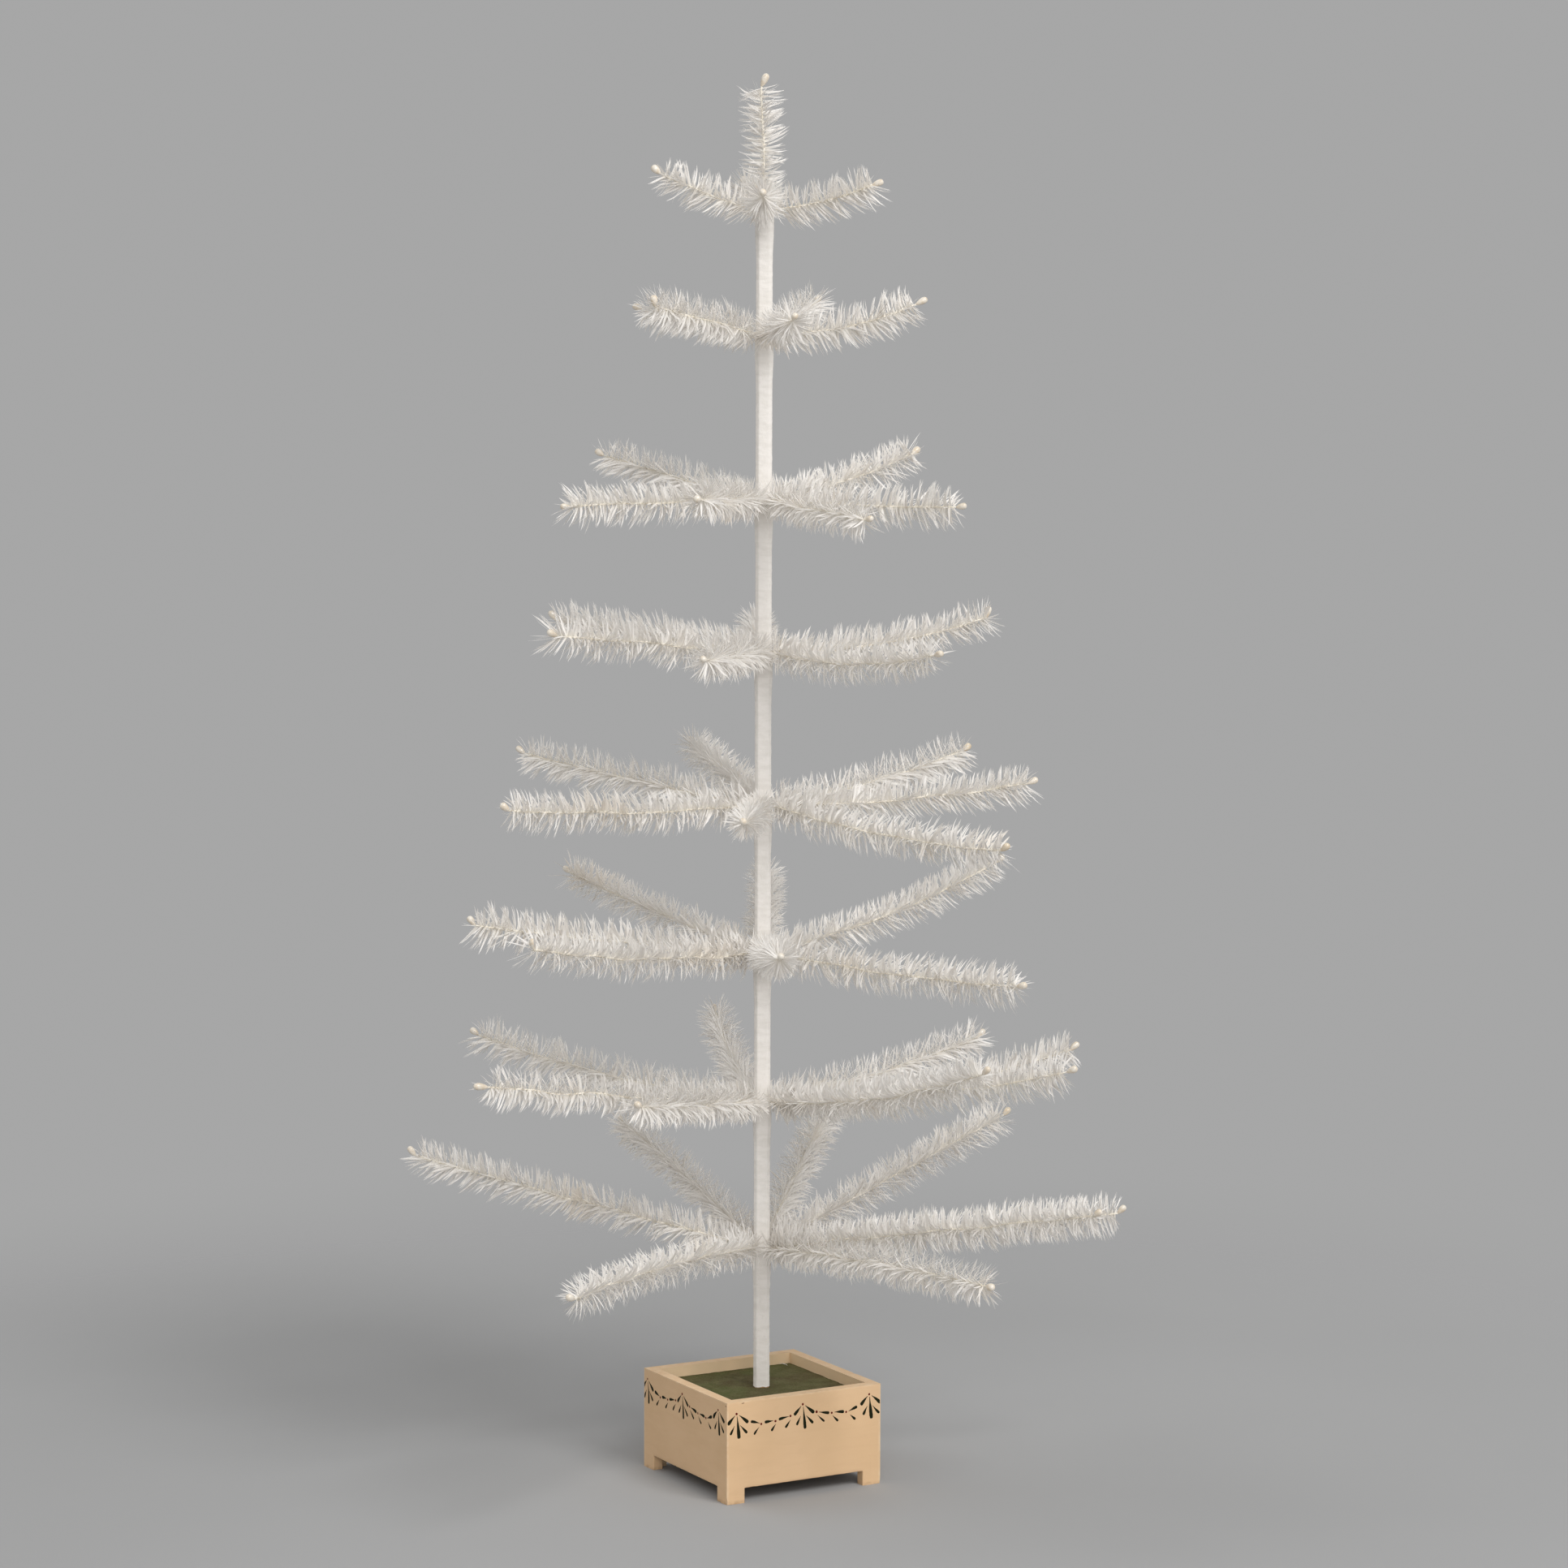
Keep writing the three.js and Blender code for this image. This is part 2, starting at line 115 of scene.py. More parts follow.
# Branches whose length differs from their tier's, as a share of it
LENGTH_SHARES = {"7_left": 1.023, "8_right_back": 0.979}


# Small helpers
def smoothstep(x):
    x = np.clip(x, 0, 1)
    return x * x * (3 - 2 * x)


def full_turn(steps):
    """Angles in even steps round a full turn."""
    return np.linspace(0, 2 * np.pi, steps, endpoint=False)


def unit(v):
    return v / np.linalg.norm(v, axis=-1, keepdims=True)


def seeded(text, extra=0):
    """Random numbers that depend on a name alone."""
    return np.random.default_rng(sum(map(ord, text)) + extra)


def placed(name, data):
    obj = bpy.data.objects.new(name, data)
    bpy.context.scene.collection.objects.link(obj)
    return obj


def piece(name, verts, faces, paint, smooth=True):
    """A mesh object from millimetre vertices and a list of face index arrays."""
    mesh = bpy.data.meshes.new(name)
    verts = np.asarray(verts, dtype=np.float64) * MM
    arrays = [np.asarray(f, dtype=np.int32) for f in faces if len(f)]
    sizes = np.concatenate([np.full(len(a), a.shape[1], dtype=np.int32) for a in arrays])
    loops = np.concatenate([a.ravel() for a in arrays])
    starts = np.concatenate([[0], np.cumsum(sizes)[:-1]]).astype(np.int32)
    mesh.vertices.add(len(verts))
    mesh.vertices.foreach_set("co", verts.astype(np.float32).ravel())
    mesh.loops.add(len(loops))
    mesh.loops.foreach_set("vertex_index", loops)
    mesh.polygons.add(len(sizes))
    mesh.polygons.foreach_set("loop_start", starts)
    mesh.polygons.foreach_set("loop_total", sizes)
    mesh.polygons.foreach_set("use_smooth", np.full(len(sizes), smooth))
    mesh.update(calc_edges=True)
    mesh.validate()
    mesh.materials.append(paint)
    return placed(name, mesh)


def grid_faces(rings, around):
    """Quads between successive rings of vertices."""
    i, j = np.meshgrid(np.arange(rings - 1), np.arange(around), indexing="ij")
    a = i * around + j
    b = i * around + (j + 1) % around
    return np.stack([a, b, b + around, a + around], -1).reshape(-1, 4)


def tube_faces(rings, around):
    """The quads between rings, and a cap over the first and the last ring."""
    cap = np.arange(around)[None, :]
    return [grid_faces(rings, around), cap[:, ::-1], cap + (rings - 1) * around]


def wave_noise(rng, waves, lowest, highest):
    """A smooth one-dimensional noise function of waves between two wavelengths, about 1 high."""
    length = np.exp(rng.uniform(np.log(lowest), np.log(highest), waves))
    phase = rng.uniform(0, 2 * np.pi, waves)
    gain = rng.normal(0, 1, waves) / np.sqrt(waves)

    def at(x):
        x = np.asarray(x, float)
        return (gain * np.sin(2 * np.pi * x[..., None] / length + phase)).sum(-1)

    return at


def reach(offset, azimuth):
    """Distance from the pole's axis to its section, grown by an offset, at an azimuth in degrees."""
    half = POLE_WIDTH / 2 + offset
    flat = half - POLE_CHAMFER - (2 - math.sqrt(2)) * offset
    chamfer = (half + flat) / math.sqrt(2)
    best = None
    for k in range(8):
        turn = np.radians(azimuth - POLE_TURN - 45 * k)
        side = half if k % 2 == 0 else chamfer
        cos = np.cos(turn)
        r = np.where(cos > 1e-3, side / np.maximum(cos, 1e-3), 1e9)
        best = r if best is None else np.minimum(best, r)
    return best


def swell(height):
    """How far the wrap stands out at a height, below each tier."""
    out = np.zeros_like(np.asarray(height, float))
    for tier_height, _, _ in TIERS.values():
        below = tier_height - height
        rise = smoothstep((SWELL_RUN - below) / (SWELL_RUN - SWELL_FULL))
        fall = np.clip((below + SWELL_STEP) / (SWELL_STEP + SWELL_LIP), 0, 1)
        out = np.maximum(out, np.where(below > SWELL_LIP, rise, np.minimum(rise, fall)))
    return out * WRAP_SWELL


# Materials
class Nodes:
    """The node tree of a material or world, and short ways to add nodes."""

    def __init__(self, owner):
        owner.use_nodes = True
        self.tree = owner.node_tree

    def node(self, kind, *first, **named):
        """A node, with values or links for its first sockets in order and for others by name."""
        made = self.tree.nodes.new(kind)
        for socket, value in zip(made.inputs, first):
            self.put(socket, value)
        for name, value in named.items():
            self.put(made.inputs[name], value)
        return made

    def put(self, socket, value):
        if isinstance(value, bpy.types.NodeSocket):
            self.tree.links.new(value, socket)
        else:
            socket.default_value = value

    def math(self, operation, *values):
        made = self.node("ShaderNodeMath", *values)
        made.operation = operation
        return made.outputs[0]


class Paint(Nodes):
    """A material."""

    def __init__(self, name):
        self.material = bpy.data.materials.new(name)
        super().__init__(self.material)
        self.shader = self.tree.nodes["Principled BSDF"]
        self.place = self.node("ShaderNodeTexCoord").outputs["Object"]

    def stretched(self, scale):
        return self.node("ShaderNodeMapping", Vector=self.place, Scale=scale).outputs["Vector"]

    def noise(self, scale, detail=3.0, roughness=0.5, distortion=0.0, place=None):
        made = self.node("ShaderNodeTexNoise", Scale=scale, Detail=detail, Roughness=roughness,
                         Distortion=distortion, Vector=place or self.place)
        return made.outputs["Fac"]

    def cells(self, scale):
        return self.node("ShaderNodeTexVoronoi", Scale=scale, Vector=self.place).outputs["Distance"]

    def remap(self, value, low, high, to_low=0.0, to_high=1.0):
        made = self.node("ShaderNodeMapRange", value, low, high, to_low, to_high)
        made.interpolation_type = "SMOOTHSTEP"
        return made.outputs["Result"]

    def mix(self, share, a, b):
        made = self.node("ShaderNodeMix", share)
        made.data_type = "RGBA"
        self.put(made.inputs[6], a)
        self.put(made.inputs[7], b)
        return made.outputs[2]

    def tint(self, base, pattern, low, high, share, colour):
        """Up to a share of another colour, where a pattern goes from low to high."""
        return self.mix(self.remap(pattern, low, high, 0, share), base, colour)

    def bump(self, height, strength, distance, under=None):
        made = self.node("ShaderNodeBump", Strength=strength, Distance=distance, Height=height)
        if under is not None:
            self.put(made.inputs["Normal"], under)
        return made.outputs["Normal"]

    def axis(self, name):
        return self.node("ShaderNodeSeparateXYZ", self.place).outputs[name]

    def surface(self, base, pattern, smooth, rough, normal, specular=0.5):
        """Its colour, its roughness from smooth to rough with a pattern, its bump and its gloss."""
        roughness = self.remap(pattern, 0.3, 0.7, smooth, rough)
        for name, value in (("Base Color", base), ("Roughness", roughness), ("Normal", normal)):
            self.put(self.shader.inputs[name], value)
        self.shader.inputs["Specular IOR Level"].default_value = specular
        return self.material

    def blend(self, share, other):
        """A share of another shader over the first."""
        both = self.node("ShaderNodeMixShader", share, self.shader.outputs[0], other.outputs[0])
        self.put(self.tree.nodes["Material Output"].inputs["Surface"], both.outputs[0])


def rgb(red, green, blue):
    """A colour written in sRGB, 0 to 255, as the linear colour a socket takes."""
    out = []
    for c in (red / 255, green / 255, blue / 255):
        out.append(c / 12.92 if c <= 0.04045 else ((c + 0.055) / 1.055) ** 2.4)
    return (*out, 1.0)


def box_paint():
    p = Paint("box_cream_paint")
    cloud = p.noise(14, 3)
    streak = p.noise(60, 4, 0.6, 0.4, p.stretched((0.35, 0.35, 1.6)))
    grit = p.noise(900, 2)
    base = p.mix(p.remap(cloud, 0.35, 0.68), rgb(228, 192, 151), rgb(223, 187, 145))
    base = p.tint(base, streak, 0.42, 0.72, 0.25, rgb(213, 177, 137))
    base = p.tint(base, grit, 0.62, 0.78, 0.25, rgb(233, 207, 172))
    # Wear and painted highlight: paler paint close to the outer corners and the rim, partly rubbed paint and
    # partly a painted highlight where the edges catch the light
    x = p.math("ABSOLUTE", p.axis("X"))
    y = p.math("ABSOLUTE", p.axis("Y"))
    corner = p.remap(p.math("MINIMUM", x, y), (HALF - 3.5) * MM, (HALF - 0.6) * MM)
    top = p.remap(p.axis("Z"), (BOX_HEIGHT - 2.2) * MM, (BOX_HEIGHT - 0.2) * MM)
    low = p.remap(p.axis("Z"), 5 * MM, 0.5 * MM)
    # Painted light: the inside is painted paler than the outside, so the walls inside the box look lit
    inside_painted_light = p.remap(p.math("MAXIMUM", x, y), (HALF - WALL + 0.6) * MM, (HALF - WALL + 0.1) * MM)
    base = p.mix(inside_painted_light, base, p.mix(p.remap(cloud, 0.35, 0.65), rgb(240, 210, 171), rgb(231, 204, 167)))
    # Paler paint on the corners and the rim: rubbed paint with a painted highlight
    rub_and_highlight = p.math("MULTIPLY", p.math("MAXIMUM", corner, top), p.remap(p.noise(130, 3), 0.35, 0.7, 0.15, 0.8))
    base = p.mix(rub_and_highlight, base, rgb(233, 204, 168))
    # Darker towards the bottom, in the lowest 5 mm of the boards
    darker_low = p.math("MULTIPLY", low, p.remap(p.noise(160, 3), 0.3, 0.7, 0.1, 0.7))
    base = p.mix(darker_low, base, rgb(176, 140, 104))
    waves = p.bump(cloud, 0.35, 0.0006)
    brush = p.bump(streak, 0.3, 0.00022, waves)
    return p.surface(base, streak, 0.5, 0.66, p.bump(grit, 0.25, 0.00008, brush), 0.35)


def moss_paint():
    p = Paint("moss_board_paint")
    cloud = p.noise(16, 3, 0.5, 0.5)
    mottle = p.noise(85, 4, 0.6)
    grain = p.noise(520, 3, 0.6)
    specks = p.cells(330)
    base = p.mix(p.remap(cloud, 0.38, 0.62), rgb(88, 79, 50), rgb(90, 93, 53))
    base = p.tint(base, mottle, 0.4, 0.7, 0.6, rgb(109, 105, 71))
    base = p.tint(base, grain, 0.5, 0.75, 0.5, rgb(52, 50, 32))
    base = p.tint(base, specks, 0.13, 0.04, 0.55, rgb(140, 142, 108))
    lumps = p.bump(mottle, 0.5, 0.0008)
    return p.surface(base, grain, 0.75, 0.95, p.bump(grain, 0.6, 0.0004, lumps), 0.2)


def stroke_paint(name, dark, light, rough):
    p = Paint(name)
    streak = p.noise(420, 3, 0.6)
    cloud = p.noise(90, 2)
    base = p.mix(p.remap(streak, 0.4, 0.75, 0, 0.6), dark, light)
    base = p.tint(base, cloud, 0.45, 0.7, 0.3, light)
    return p.surface(base, streak, rough, rough + 0.15, p.bump(streak, 0.3, 0.00015), 0.15)


def wrap_paper():
    p = Paint("trunk_paper")
    band = p.noise(120, 3, 0.55, 0.3, p.stretched((0.5, 0.5, 1.6)))
    crease_and_shade = p.noise(420, 4, 0.65, 0.8, p.stretched((1.0, 1.0, 0.55)))
    fibre = p.noise(1600, 2)
    base = p.mix(p.remap(band, 0.35, 0.7), rgb(241, 236, 230), rgb(233, 228, 221))
    # Painted shade: the paper is darker along its creases
    base = p.tint(base, crease_and_shade, 0.55, 0.8, 0.4, rgb(214, 207, 199))
    base = p.tint(base, fibre, 0.6, 0.8, 0.2, rgb(250, 248, 244))
    deep = p.bump(band, 0.5, 0.0006)
    fine = p.bump(crease_and_shade, 0.55, 0.00035, deep)
    return p.surface(base, crease_and_shade, 0.6, 0.8, p.bump(fibre, 0.3, 0.00006, fine), 0.3)


def feather_vane():
    p = Paint("feather_white")
    patch = p.noise(13, 2)
    tint = p.noise(95, 3, 0.6)
    streak = p.noise(700, 2)
    place = p.tree.nodes.new("ShaderNodeAttribute")
    place.attribute_name = "barb_place"
    base = p.mix(p.remap(tint, 0.35, 0.7), rgb(251, 248, 244), rgb(246, 242, 237))
    base = p.tint(base, patch, 0.58, 0.74, 0.4, rgb(243, 233, 218))
    base = p.tint(base, streak, 0.55, 0.8, 0.25, rgb(238, 232, 225))
    base = p.mix(p.remap(place.outputs["Fac"], 0.0, 0.4, 0.6, 0), base, rgb(246, 241, 231))
    p.surface(base, streak, 0.36, 0.52, p.bump(streak, 0.3, 0.0001), 0.6)
    p.blend(0.2, p.node("ShaderNodeBsdfTranslucent", Color=base))
    return p.material


def wire_paper():
    p = Paint("twisted_wire_paper")
    mottle = p.noise(260, 3, 0.6)
    fibre = p.noise(1500, 2)
    base = p.mix(p.remap(mottle, 0.35, 0.7), rgb(245, 239, 227), rgb(236, 227, 210))
    base = p.tint(base, fibre, 0.55, 0.75, 0.4, rgb(250, 246, 238))
    return p.surface(base, mottle, 0.6, 0.8, p.bump(fibre, 0.4, 0.0001))


def berry_lacquer(name, pale, deep):
    p = Paint(name)
    mottle = p.noise(190, 3, 0.55)
    speck = p.noise(900, 2)
    base = p.mix(p.remap(mottle, 0.35, 0.7), pale, deep)
    base = p.tint(base, speck, 0.6, 0.8, 0.4, rgb(210, 190, 160))
    p.shader.inputs["Coat Weight"].default_value = 0.4
    p.shader.inputs["Coat Roughness"].default_value = 0.15
    return p.surface(base, mottle, 0.22, 0.36, p.bump(mottle, 0.2, 0.0003))


def bare_wood():
    p = Paint("bare_wood_grain")
    grain = p.noise(240, 4, 0.6, 1.2, p.stretched((1.0, 1.0, 0.06)))
    pores = p.noise(900, 3, 0.6, 0.0, p.stretched((1.0, 1.0, 0.12)))
    base = p.mix(p.remap(grain, 0.35, 0.68), rgb(206, 170, 126), rgb(176, 136, 94))
    base = p.tint(base, pores, 0.58, 0.75, 0.5, rgb(128, 94, 62))
    return p.surface(base, grain, 0.6, 0.75, p.bump(pores, 0.3, 0.0003))


CREAM = box_paint()
MOSS = moss_paint()
GREEN = stroke_paint("garland_green", rgb(22, 24, 7), rgb(34, 40, 16), 0.6)
RED = stroke_paint("garland_red", rgb(92, 14, 10), rgb(116, 26, 18), 0.5)
MARK = stroke_paint("old_mark_brown", rgb(120, 84, 58), rgb(150, 110, 78), 0.7)
PAPER = wrap_paper()
FEATHER = feather_vane()
WIRE = wire_paper()
BERRY = berry_lacquer("berry_cream", rgb(239, 231, 218), rgb(224, 208, 185))
# A darker, warmer berry lacquer: partly the berries' own tan and partly painted shade for berries in shadow
TAN_AND_SHADED_BERRY = berry_lacquer("berry_tan_and_painted_shade", rgb(233, 219, 196), rgb(214, 193, 163))
WOOD = bare_wood()


# Box: rounding of its edges, size of the boards' mesh, and angle of an edge that stays sharp
EDGE_ROUND = 1.0
EDGE_CRISP = 0.03
EDGE_BAND = 1.6
BOARD_GRID = 4
BOARD_SHARP = 38


def board(name, length, foot, worn_ends, place):
    """One board in its own frame (x along, y from the outer face inward, z up), put in place by a 4x4.
    It is cut away between its feet, and its edges are worn."""
    half = length / 2
    outline = [(-half, 0), (foot - half, 0), (foot - half, FOOT_HEIGHT), (half - foot, FOOT_HEIGHT),
               (half - foot, 0), (half, 0), (half, BOX_HEIGHT), (-half, BOX_HEIGHT)]
    bm = bmesh.new()
    outer = [bm.verts.new((x, 0, z)) for x, z in outline]
    inner = [bm.verts.new((x, WALL, z)) for x, z in outline]
    bm.faces.new(outer)
    bm.faces.new(inner[::-1])
    for i in range(len(outline)):
        j = (i + 1) % len(outline)
        bm.faces.new((outer[j], outer[i], inner[i], inner[j]))
    bm.normal_update()
    soft, crisp = [], []
    for e in bm.edges:
        a, b = e.verts[0].co, e.verts[1].co
        at_end = abs(a.x) > half - 0.01 and abs(b.x) > half - 0.01 and a.x * b.x > 0
        if all(abs(abs(end.x) - (half - foot)) < 0.01 and abs(end.z) < 0.01 for end in (a, b)):
            continue
        if at_end and (not worn_ends or a.y > 0.01 or b.y > 0.01):
            crisp.append(e)
        else:
            soft.append(e)
    bmesh.ops.bevel(bm, geom=crisp, offset=EDGE_CRISP, segments=1, affect="EDGES", profile=0.5)
    soft = [e for e in soft if e.is_valid]
    bmesh.ops.bevel(
        bm, geom=soft, offset=EDGE_ROUND, segments=3, affect="EDGES", profile=0.5, clamp_overlap=True)
    cuts = [(1, EDGE_BAND), (1, WALL - EDGE_BAND)]
    for axis, low, high in ((0, -half, half), (2, 0, BOX_HEIGHT)):
        steps = int((high - low) / BOARD_GRID)
        cuts += [(axis, low + (high - low) * i / steps) for i in range(1, steps)]
    for axis, where in cuts:
        at, normal = Vector(), Vector()
        at[axis], normal[axis] = where, 1.0
        everything = bm.verts[:] + bm.edges[:] + bm.faces[:]
        bmesh.ops.bisect_plane(bm, geom=everything, plane_co=at, plane_no=normal, dist=1e-4)
    # Edge wear: the rounded edges wander a little, and the flat faces stay flat
    rng = seeded(name)
    along = wave_noise(rng, 10, 5, 45)
    chip = wave_noise(rng, 12, 3, 14)
    for v in bm.verts:
        x, y, z = v.co
        on_face = z < 1e-4 or any(abs(d) < 1e-4 for d in (y, y - WALL, z - BOX_HEIGHT, abs(x) - half))
        if not on_face or (abs(z - FOOT_HEIGHT) < 1.2 and abs(x) < half - foot + 1.2):
            push = 0.10 * float(along(x + z * 1.7)) + 0.12 * max(0.0, float(chip(x * 1.1 + z)) - 0.6)
            centre = Vector((x * 0.985, WALL / 2, z * 0.97 + 2))
            v.co += (centre - v.co).normalized() * push
    for nx, ny, nz, radius, depth in EDGE_NICKS[name]:
        for v in bm.verts:
            d = (v.co - Vector((nx, ny, nz))).length
            if d < radius:
                inward = Vector((0, WALL / 2 - ny, -1.5 if nz > BOX_HEIGHT / 2 else 1.5)).normalized()
                v.co += inward * depth * (1 - (d / radius) ** 2)
    bmesh.ops.triangulate(bm, faces=[f for f in bm.faces if len(f.verts) > 4])
    mesh = bpy.data.meshes.new(name)
    bm.transform(Matrix.Scale(MM, 4) @ Matrix(place))
    bm.to_mesh(mesh)
    bm.free()
    mesh.polygons.foreach_set("use_smooth", np.full(len(mesh.polygons), True))
    mesh.set_sharp_from_angle(angle=math.radians(BOARD_SHARP))
    mesh.materials.append(CREAM)
    return placed(name, mesh)


# Nicks on worn edges, in the board's own frame: place, radius, depth
EDGE_NICKS = {
    "box_front": [
        (-HALF + 19.5, 0.4, BOX_HEIGHT, 2.6, 0.5), (HALF - 60, 0.3, BOX_HEIGHT, 2.5, 0.3),
        (-62, 0.4, FOOT_HEIGHT, 3, 0.5)],
    "box_left": [(HALF, 0.4, 2, 5, 1.0), (HALF - 16, 0.3, 0, 3, 0.7), (-30, 0.4, BOX_HEIGHT, 2.2, 0.3)],
    "box_right": [(-40, 0.2, BOX_HEIGHT, 3.2, 0.9), (20, 0.3, BOX_HEIGHT, 2.4, 0.4), (-HALF, 0.5, 1, 4, 0.7)],
    "box_back": [(30, 0.3, BOX_HEIGHT, 2.6, 0.5), (-45, 0.3, FOOT_HEIGHT, 3, 0.4)],
}


def turned(degrees):
    """A face's frame as seen from outside: x to the right, y inward from the outer plane, z up."""
    a = math.radians(degrees)
    c, s = math.cos(a), math.sin(a)
    turn = Matrix(((c, -s, 0, 0), (s, c, 0, 0), (0, 0, 1, 0), (0, 0, 0, 1)))
    return turn @ Matrix.Translation((0, -HALF, 0))


FACES = {side: turned(90 * k) for k, side in enumerate(("front", "right", "back", "left"))}
for side in ("front", "back", "left", "right"):
    # The left and right boards cover the ends of the other two
    cover = 0 if side in ("left", "right") else WALL
    made = board("box_" + side, BOX_SIDE - 2 * cover, FOOT_WIDTH - cover, cover == 0, FACES[side])
    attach(made, "stand")
    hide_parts(f"box_{side}_board")

# Garland: strokes from a thin start to a round fat end with their width, and dots.
# Places count from each fan's own dot, in millimetres to the right and down.
FAN = [
    ((0.6, 2.8), (3.1, 27.3), 4.0), ((-2.4, 12.7), (-7.5, 22.1), 2.9), ((4.4, 12.9), (13.0, 22.2), 3.0),
    ((-1.9, 1.8), (-10.7, 10.9), 3.8), ((3.1, 1.7), (14.3, 11.0), 3.8),
]
# One swag: leaves from thin to fat, hanging leaves, and dots
SWAG_LEFT = [
    ((28.3, 13.4), (17.2, 10.2), 3.4), ((44.9, 12.6), (34.2, 13.0), 3.4), ((64.3, 10.2), (51.5, 12.0), 3.4),
    ((27.6, 17.6), (21.3, 25.0), 2.7), ((48.0, 16.6), (42.6, 23.6), 2.7), ((66.0, 14.2), (59.8, 22.2), 2.7),
]
SWAG_LEFT_DOTS = [(30.2, 14.4), (47.6, 13.3), (66.1, 9.9)]
SWAG_RIGHT = [
    ((20.0, 10.8), (33.2, 13.3), 3.4), ((39.6, 13.3), (51.7, 14.2), 3.4), ((57.2, 14.4), (68.2, 10.4), 3.4),
    ((18.6, 14.2), (27.1, 22.0), 2.7), ((37.3, 16.8), (44.2, 23.6), 2.7), ((59.2, 18.4), (66.0, 24.4), 2.7),
]
SWAG_RIGHT_DOTS = [(17.2, 10.3), (36.1, 13.6), (54.2, 14.8)]
# The three fans' dots on each face: from the face's left edge, and below the rim
GARLANDS = {
    "front": [(11.7, 12.6), (93.0, 11.5), (176.2, 10.2)],
    "left": [(8.1, 11.0), (89.2, 10.8), (170.8, 11.2)],
    "right": [(9.6, 10.9), (90.9, 11.4), (173.4, 11.6)],
    "back": [(10.6, 11.8), (91.8, 11.3), (174.4, 11.0)],
}
DOT_RADIUS = 1.3
DOT_SIDES = 14
EDGE_RISE = 0.02
STROKE_RISE = 0.14
DOT_SHOULDER_RISE = 0.16
DOT_RISE = 0.2


def stroke_outline(start, end, width, rng):
    """Points round a teardrop stroke and its middle line, with a slight bend."""
    a, b = np.array(start, float), np.array(end, float)
    length = np.linalg.norm(b - a)
    along = (b - a) / length
    across = np.array([-along[1], along[0]])
    bend = rng.normal(0, 0.018) * length
    t = np.array([0, 0.06, 0.16, 0.28, 0.4, 0.52, 0.64, 0.74, 0.83, 0.9, 0.955, 0.99])
    full = width / 2 * (1 + rng.normal(0, 0.05))
    body = 0.16 + 0.84 * smoothstep(t / 0.78) ** 0.9
    round_end = np.sqrt(np.clip(1 - ((t - (1 - full / length)) / (full / length)) ** 2, 0.0, 1))
    w = full * body * np.where(t > 1 - full / length, round_end, 1)
    w[-1] = max(w[-1], full * 0.22)
    middle = a + along * (t * length)[:, None] + across * (bend * 4 * t * (1 - t))[:, None]
    out = across * (w * (1 + rng.normal(0, 0.035, len(t))))[:, None]
    return middle, middle + out, middle - out


def paint_meshes(face):
    """Vertices and faces, in the face frame, of the strokes and of the dots on one face."""
    rng = seeded(face, 7)
    stroke_verts, stroke_faces, dot_verts, dot_faces = [], [], [], []

    def flat(points, rise):
        points = np.asarray(points, float)
        x = np.clip(points[:, 0], 0.75, BOX_SIDE - 0.75) - HALF
        return np.stack([x, np.full(len(points), -rise), BOX_HEIGHT - points[:, 1]], -1)

    def stroke(origin, start, end, width):
        middle, left, right = stroke_outline(start, end, width, rng)
        n = len(middle)
        base = sum(map(len, stroke_verts))
        shift = np.array(origin)
        for line, rise in ((left, EDGE_RISE), (middle, STROKE_RISE), (right, EDGE_RISE)):
            stroke_verts.append(flat(line + shift, rise))
        for k in (0, 1):
            i = np.arange(n - 1)
            p, q = base + k * n + i, base + (k + 1) * n + i
            stroke_faces.append(np.stack([p, p + 1, q + 1, q], -1))

    def dot(origin, place):
        centre = np.array(origin) + np.array(place)
        turn = full_turn(DOT_SIDES)
        radius = DOT_RADIUS * (1 + rng.normal(0, 0.05)) * (1 + 0.05 * np.sin(2 * turn + rng.uniform(0, 6)))
        base = sum(map(len, dot_verts))
        ring = np.stack([np.cos(turn), np.sin(turn) * 1.05], -1) * radius[:, None]
        dot_verts.append(flat(centre + ring, EDGE_RISE))
        dot_verts.append(flat(centre + ring * 0.6, DOT_SHOULDER_RISE))
        dot_verts.append(flat([centre], DOT_RISE))
        i = base + np.arange(DOT_SIDES)
        j = base + (np.arange(DOT_SIDES) + 1) % DOT_SIDES
        top = np.full(DOT_SIDES, base + 2 * DOT_SIDES)
        dot_faces.append(np.stack([i, i + DOT_SIDES, j + DOT_SIDES, j], -1))
        dot_faces.append(np.stack([i + DOT_SIDES, top, j + DOT_SIDES], -1))

    fans = GARLANDS[face]
    for origin in fans:
        dot(origin, (0, 0))
        for start, end, width in FAN:
            stroke(origin, start, end, width)
    swags = ((SWAG_LEFT, SWAG_LEFT_DOTS), (SWAG_RIGHT, SWAG_RIGHT_DOTS))
    for origin, (leaves, spots) in zip(fans, swags):
        for start, end, width in leaves:
            stroke(origin, start, end, width)
        for place in spots:
            dot(origin, place)
    return (np.concatenate(stroke_verts), stroke_faces), (np.concatenate(dot_verts), dot_faces)


def moved(points, matrix):
    m = np.array(matrix)
    return np.asarray(points) @ m[:3, :3].T + m[:3, 3]


for face, place in FACES.items():
    for kind, (points, faces), paint in zip(("strokes", "dots"), paint_meshes(face), (GREEN, RED)):
        made = piece(f"garland_{face}_{kind}", moved(points, place), faces, paint)
        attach(made, "stand")


# Small marks on the faces: place in the face frame (x, below the rim), length, width, angle
def mark(name, face, x, below, length, width, angle, paint):
    rng = seeded(name)
    sides = 12
    turn = full_turn(sides)
    r = 1 + rng.normal(0, 0.12, sides)
    c, s = math.cos(math.radians(angle)), math.sin(math.radians(angle))
    px, pz = np.cos(turn) * r * length / 2, np.sin(turn) * r * width / 2
    ring = np.stack([x + px * c - pz * s, np.full(sides, -0.03), BOX_HEIGHT - below + px * s + pz * c], -1)
    centre = np.array([[x, -0.08, BOX_HEIGHT - below]])
    i = np.arange(sides)
    faces = [np.stack([i, (i + 1) % sides, np.full(sides, sides)], -1)]
    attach(piece(name, moved(np.concatenate([ring, centre]), FACES[face]), faces, paint), "stand")


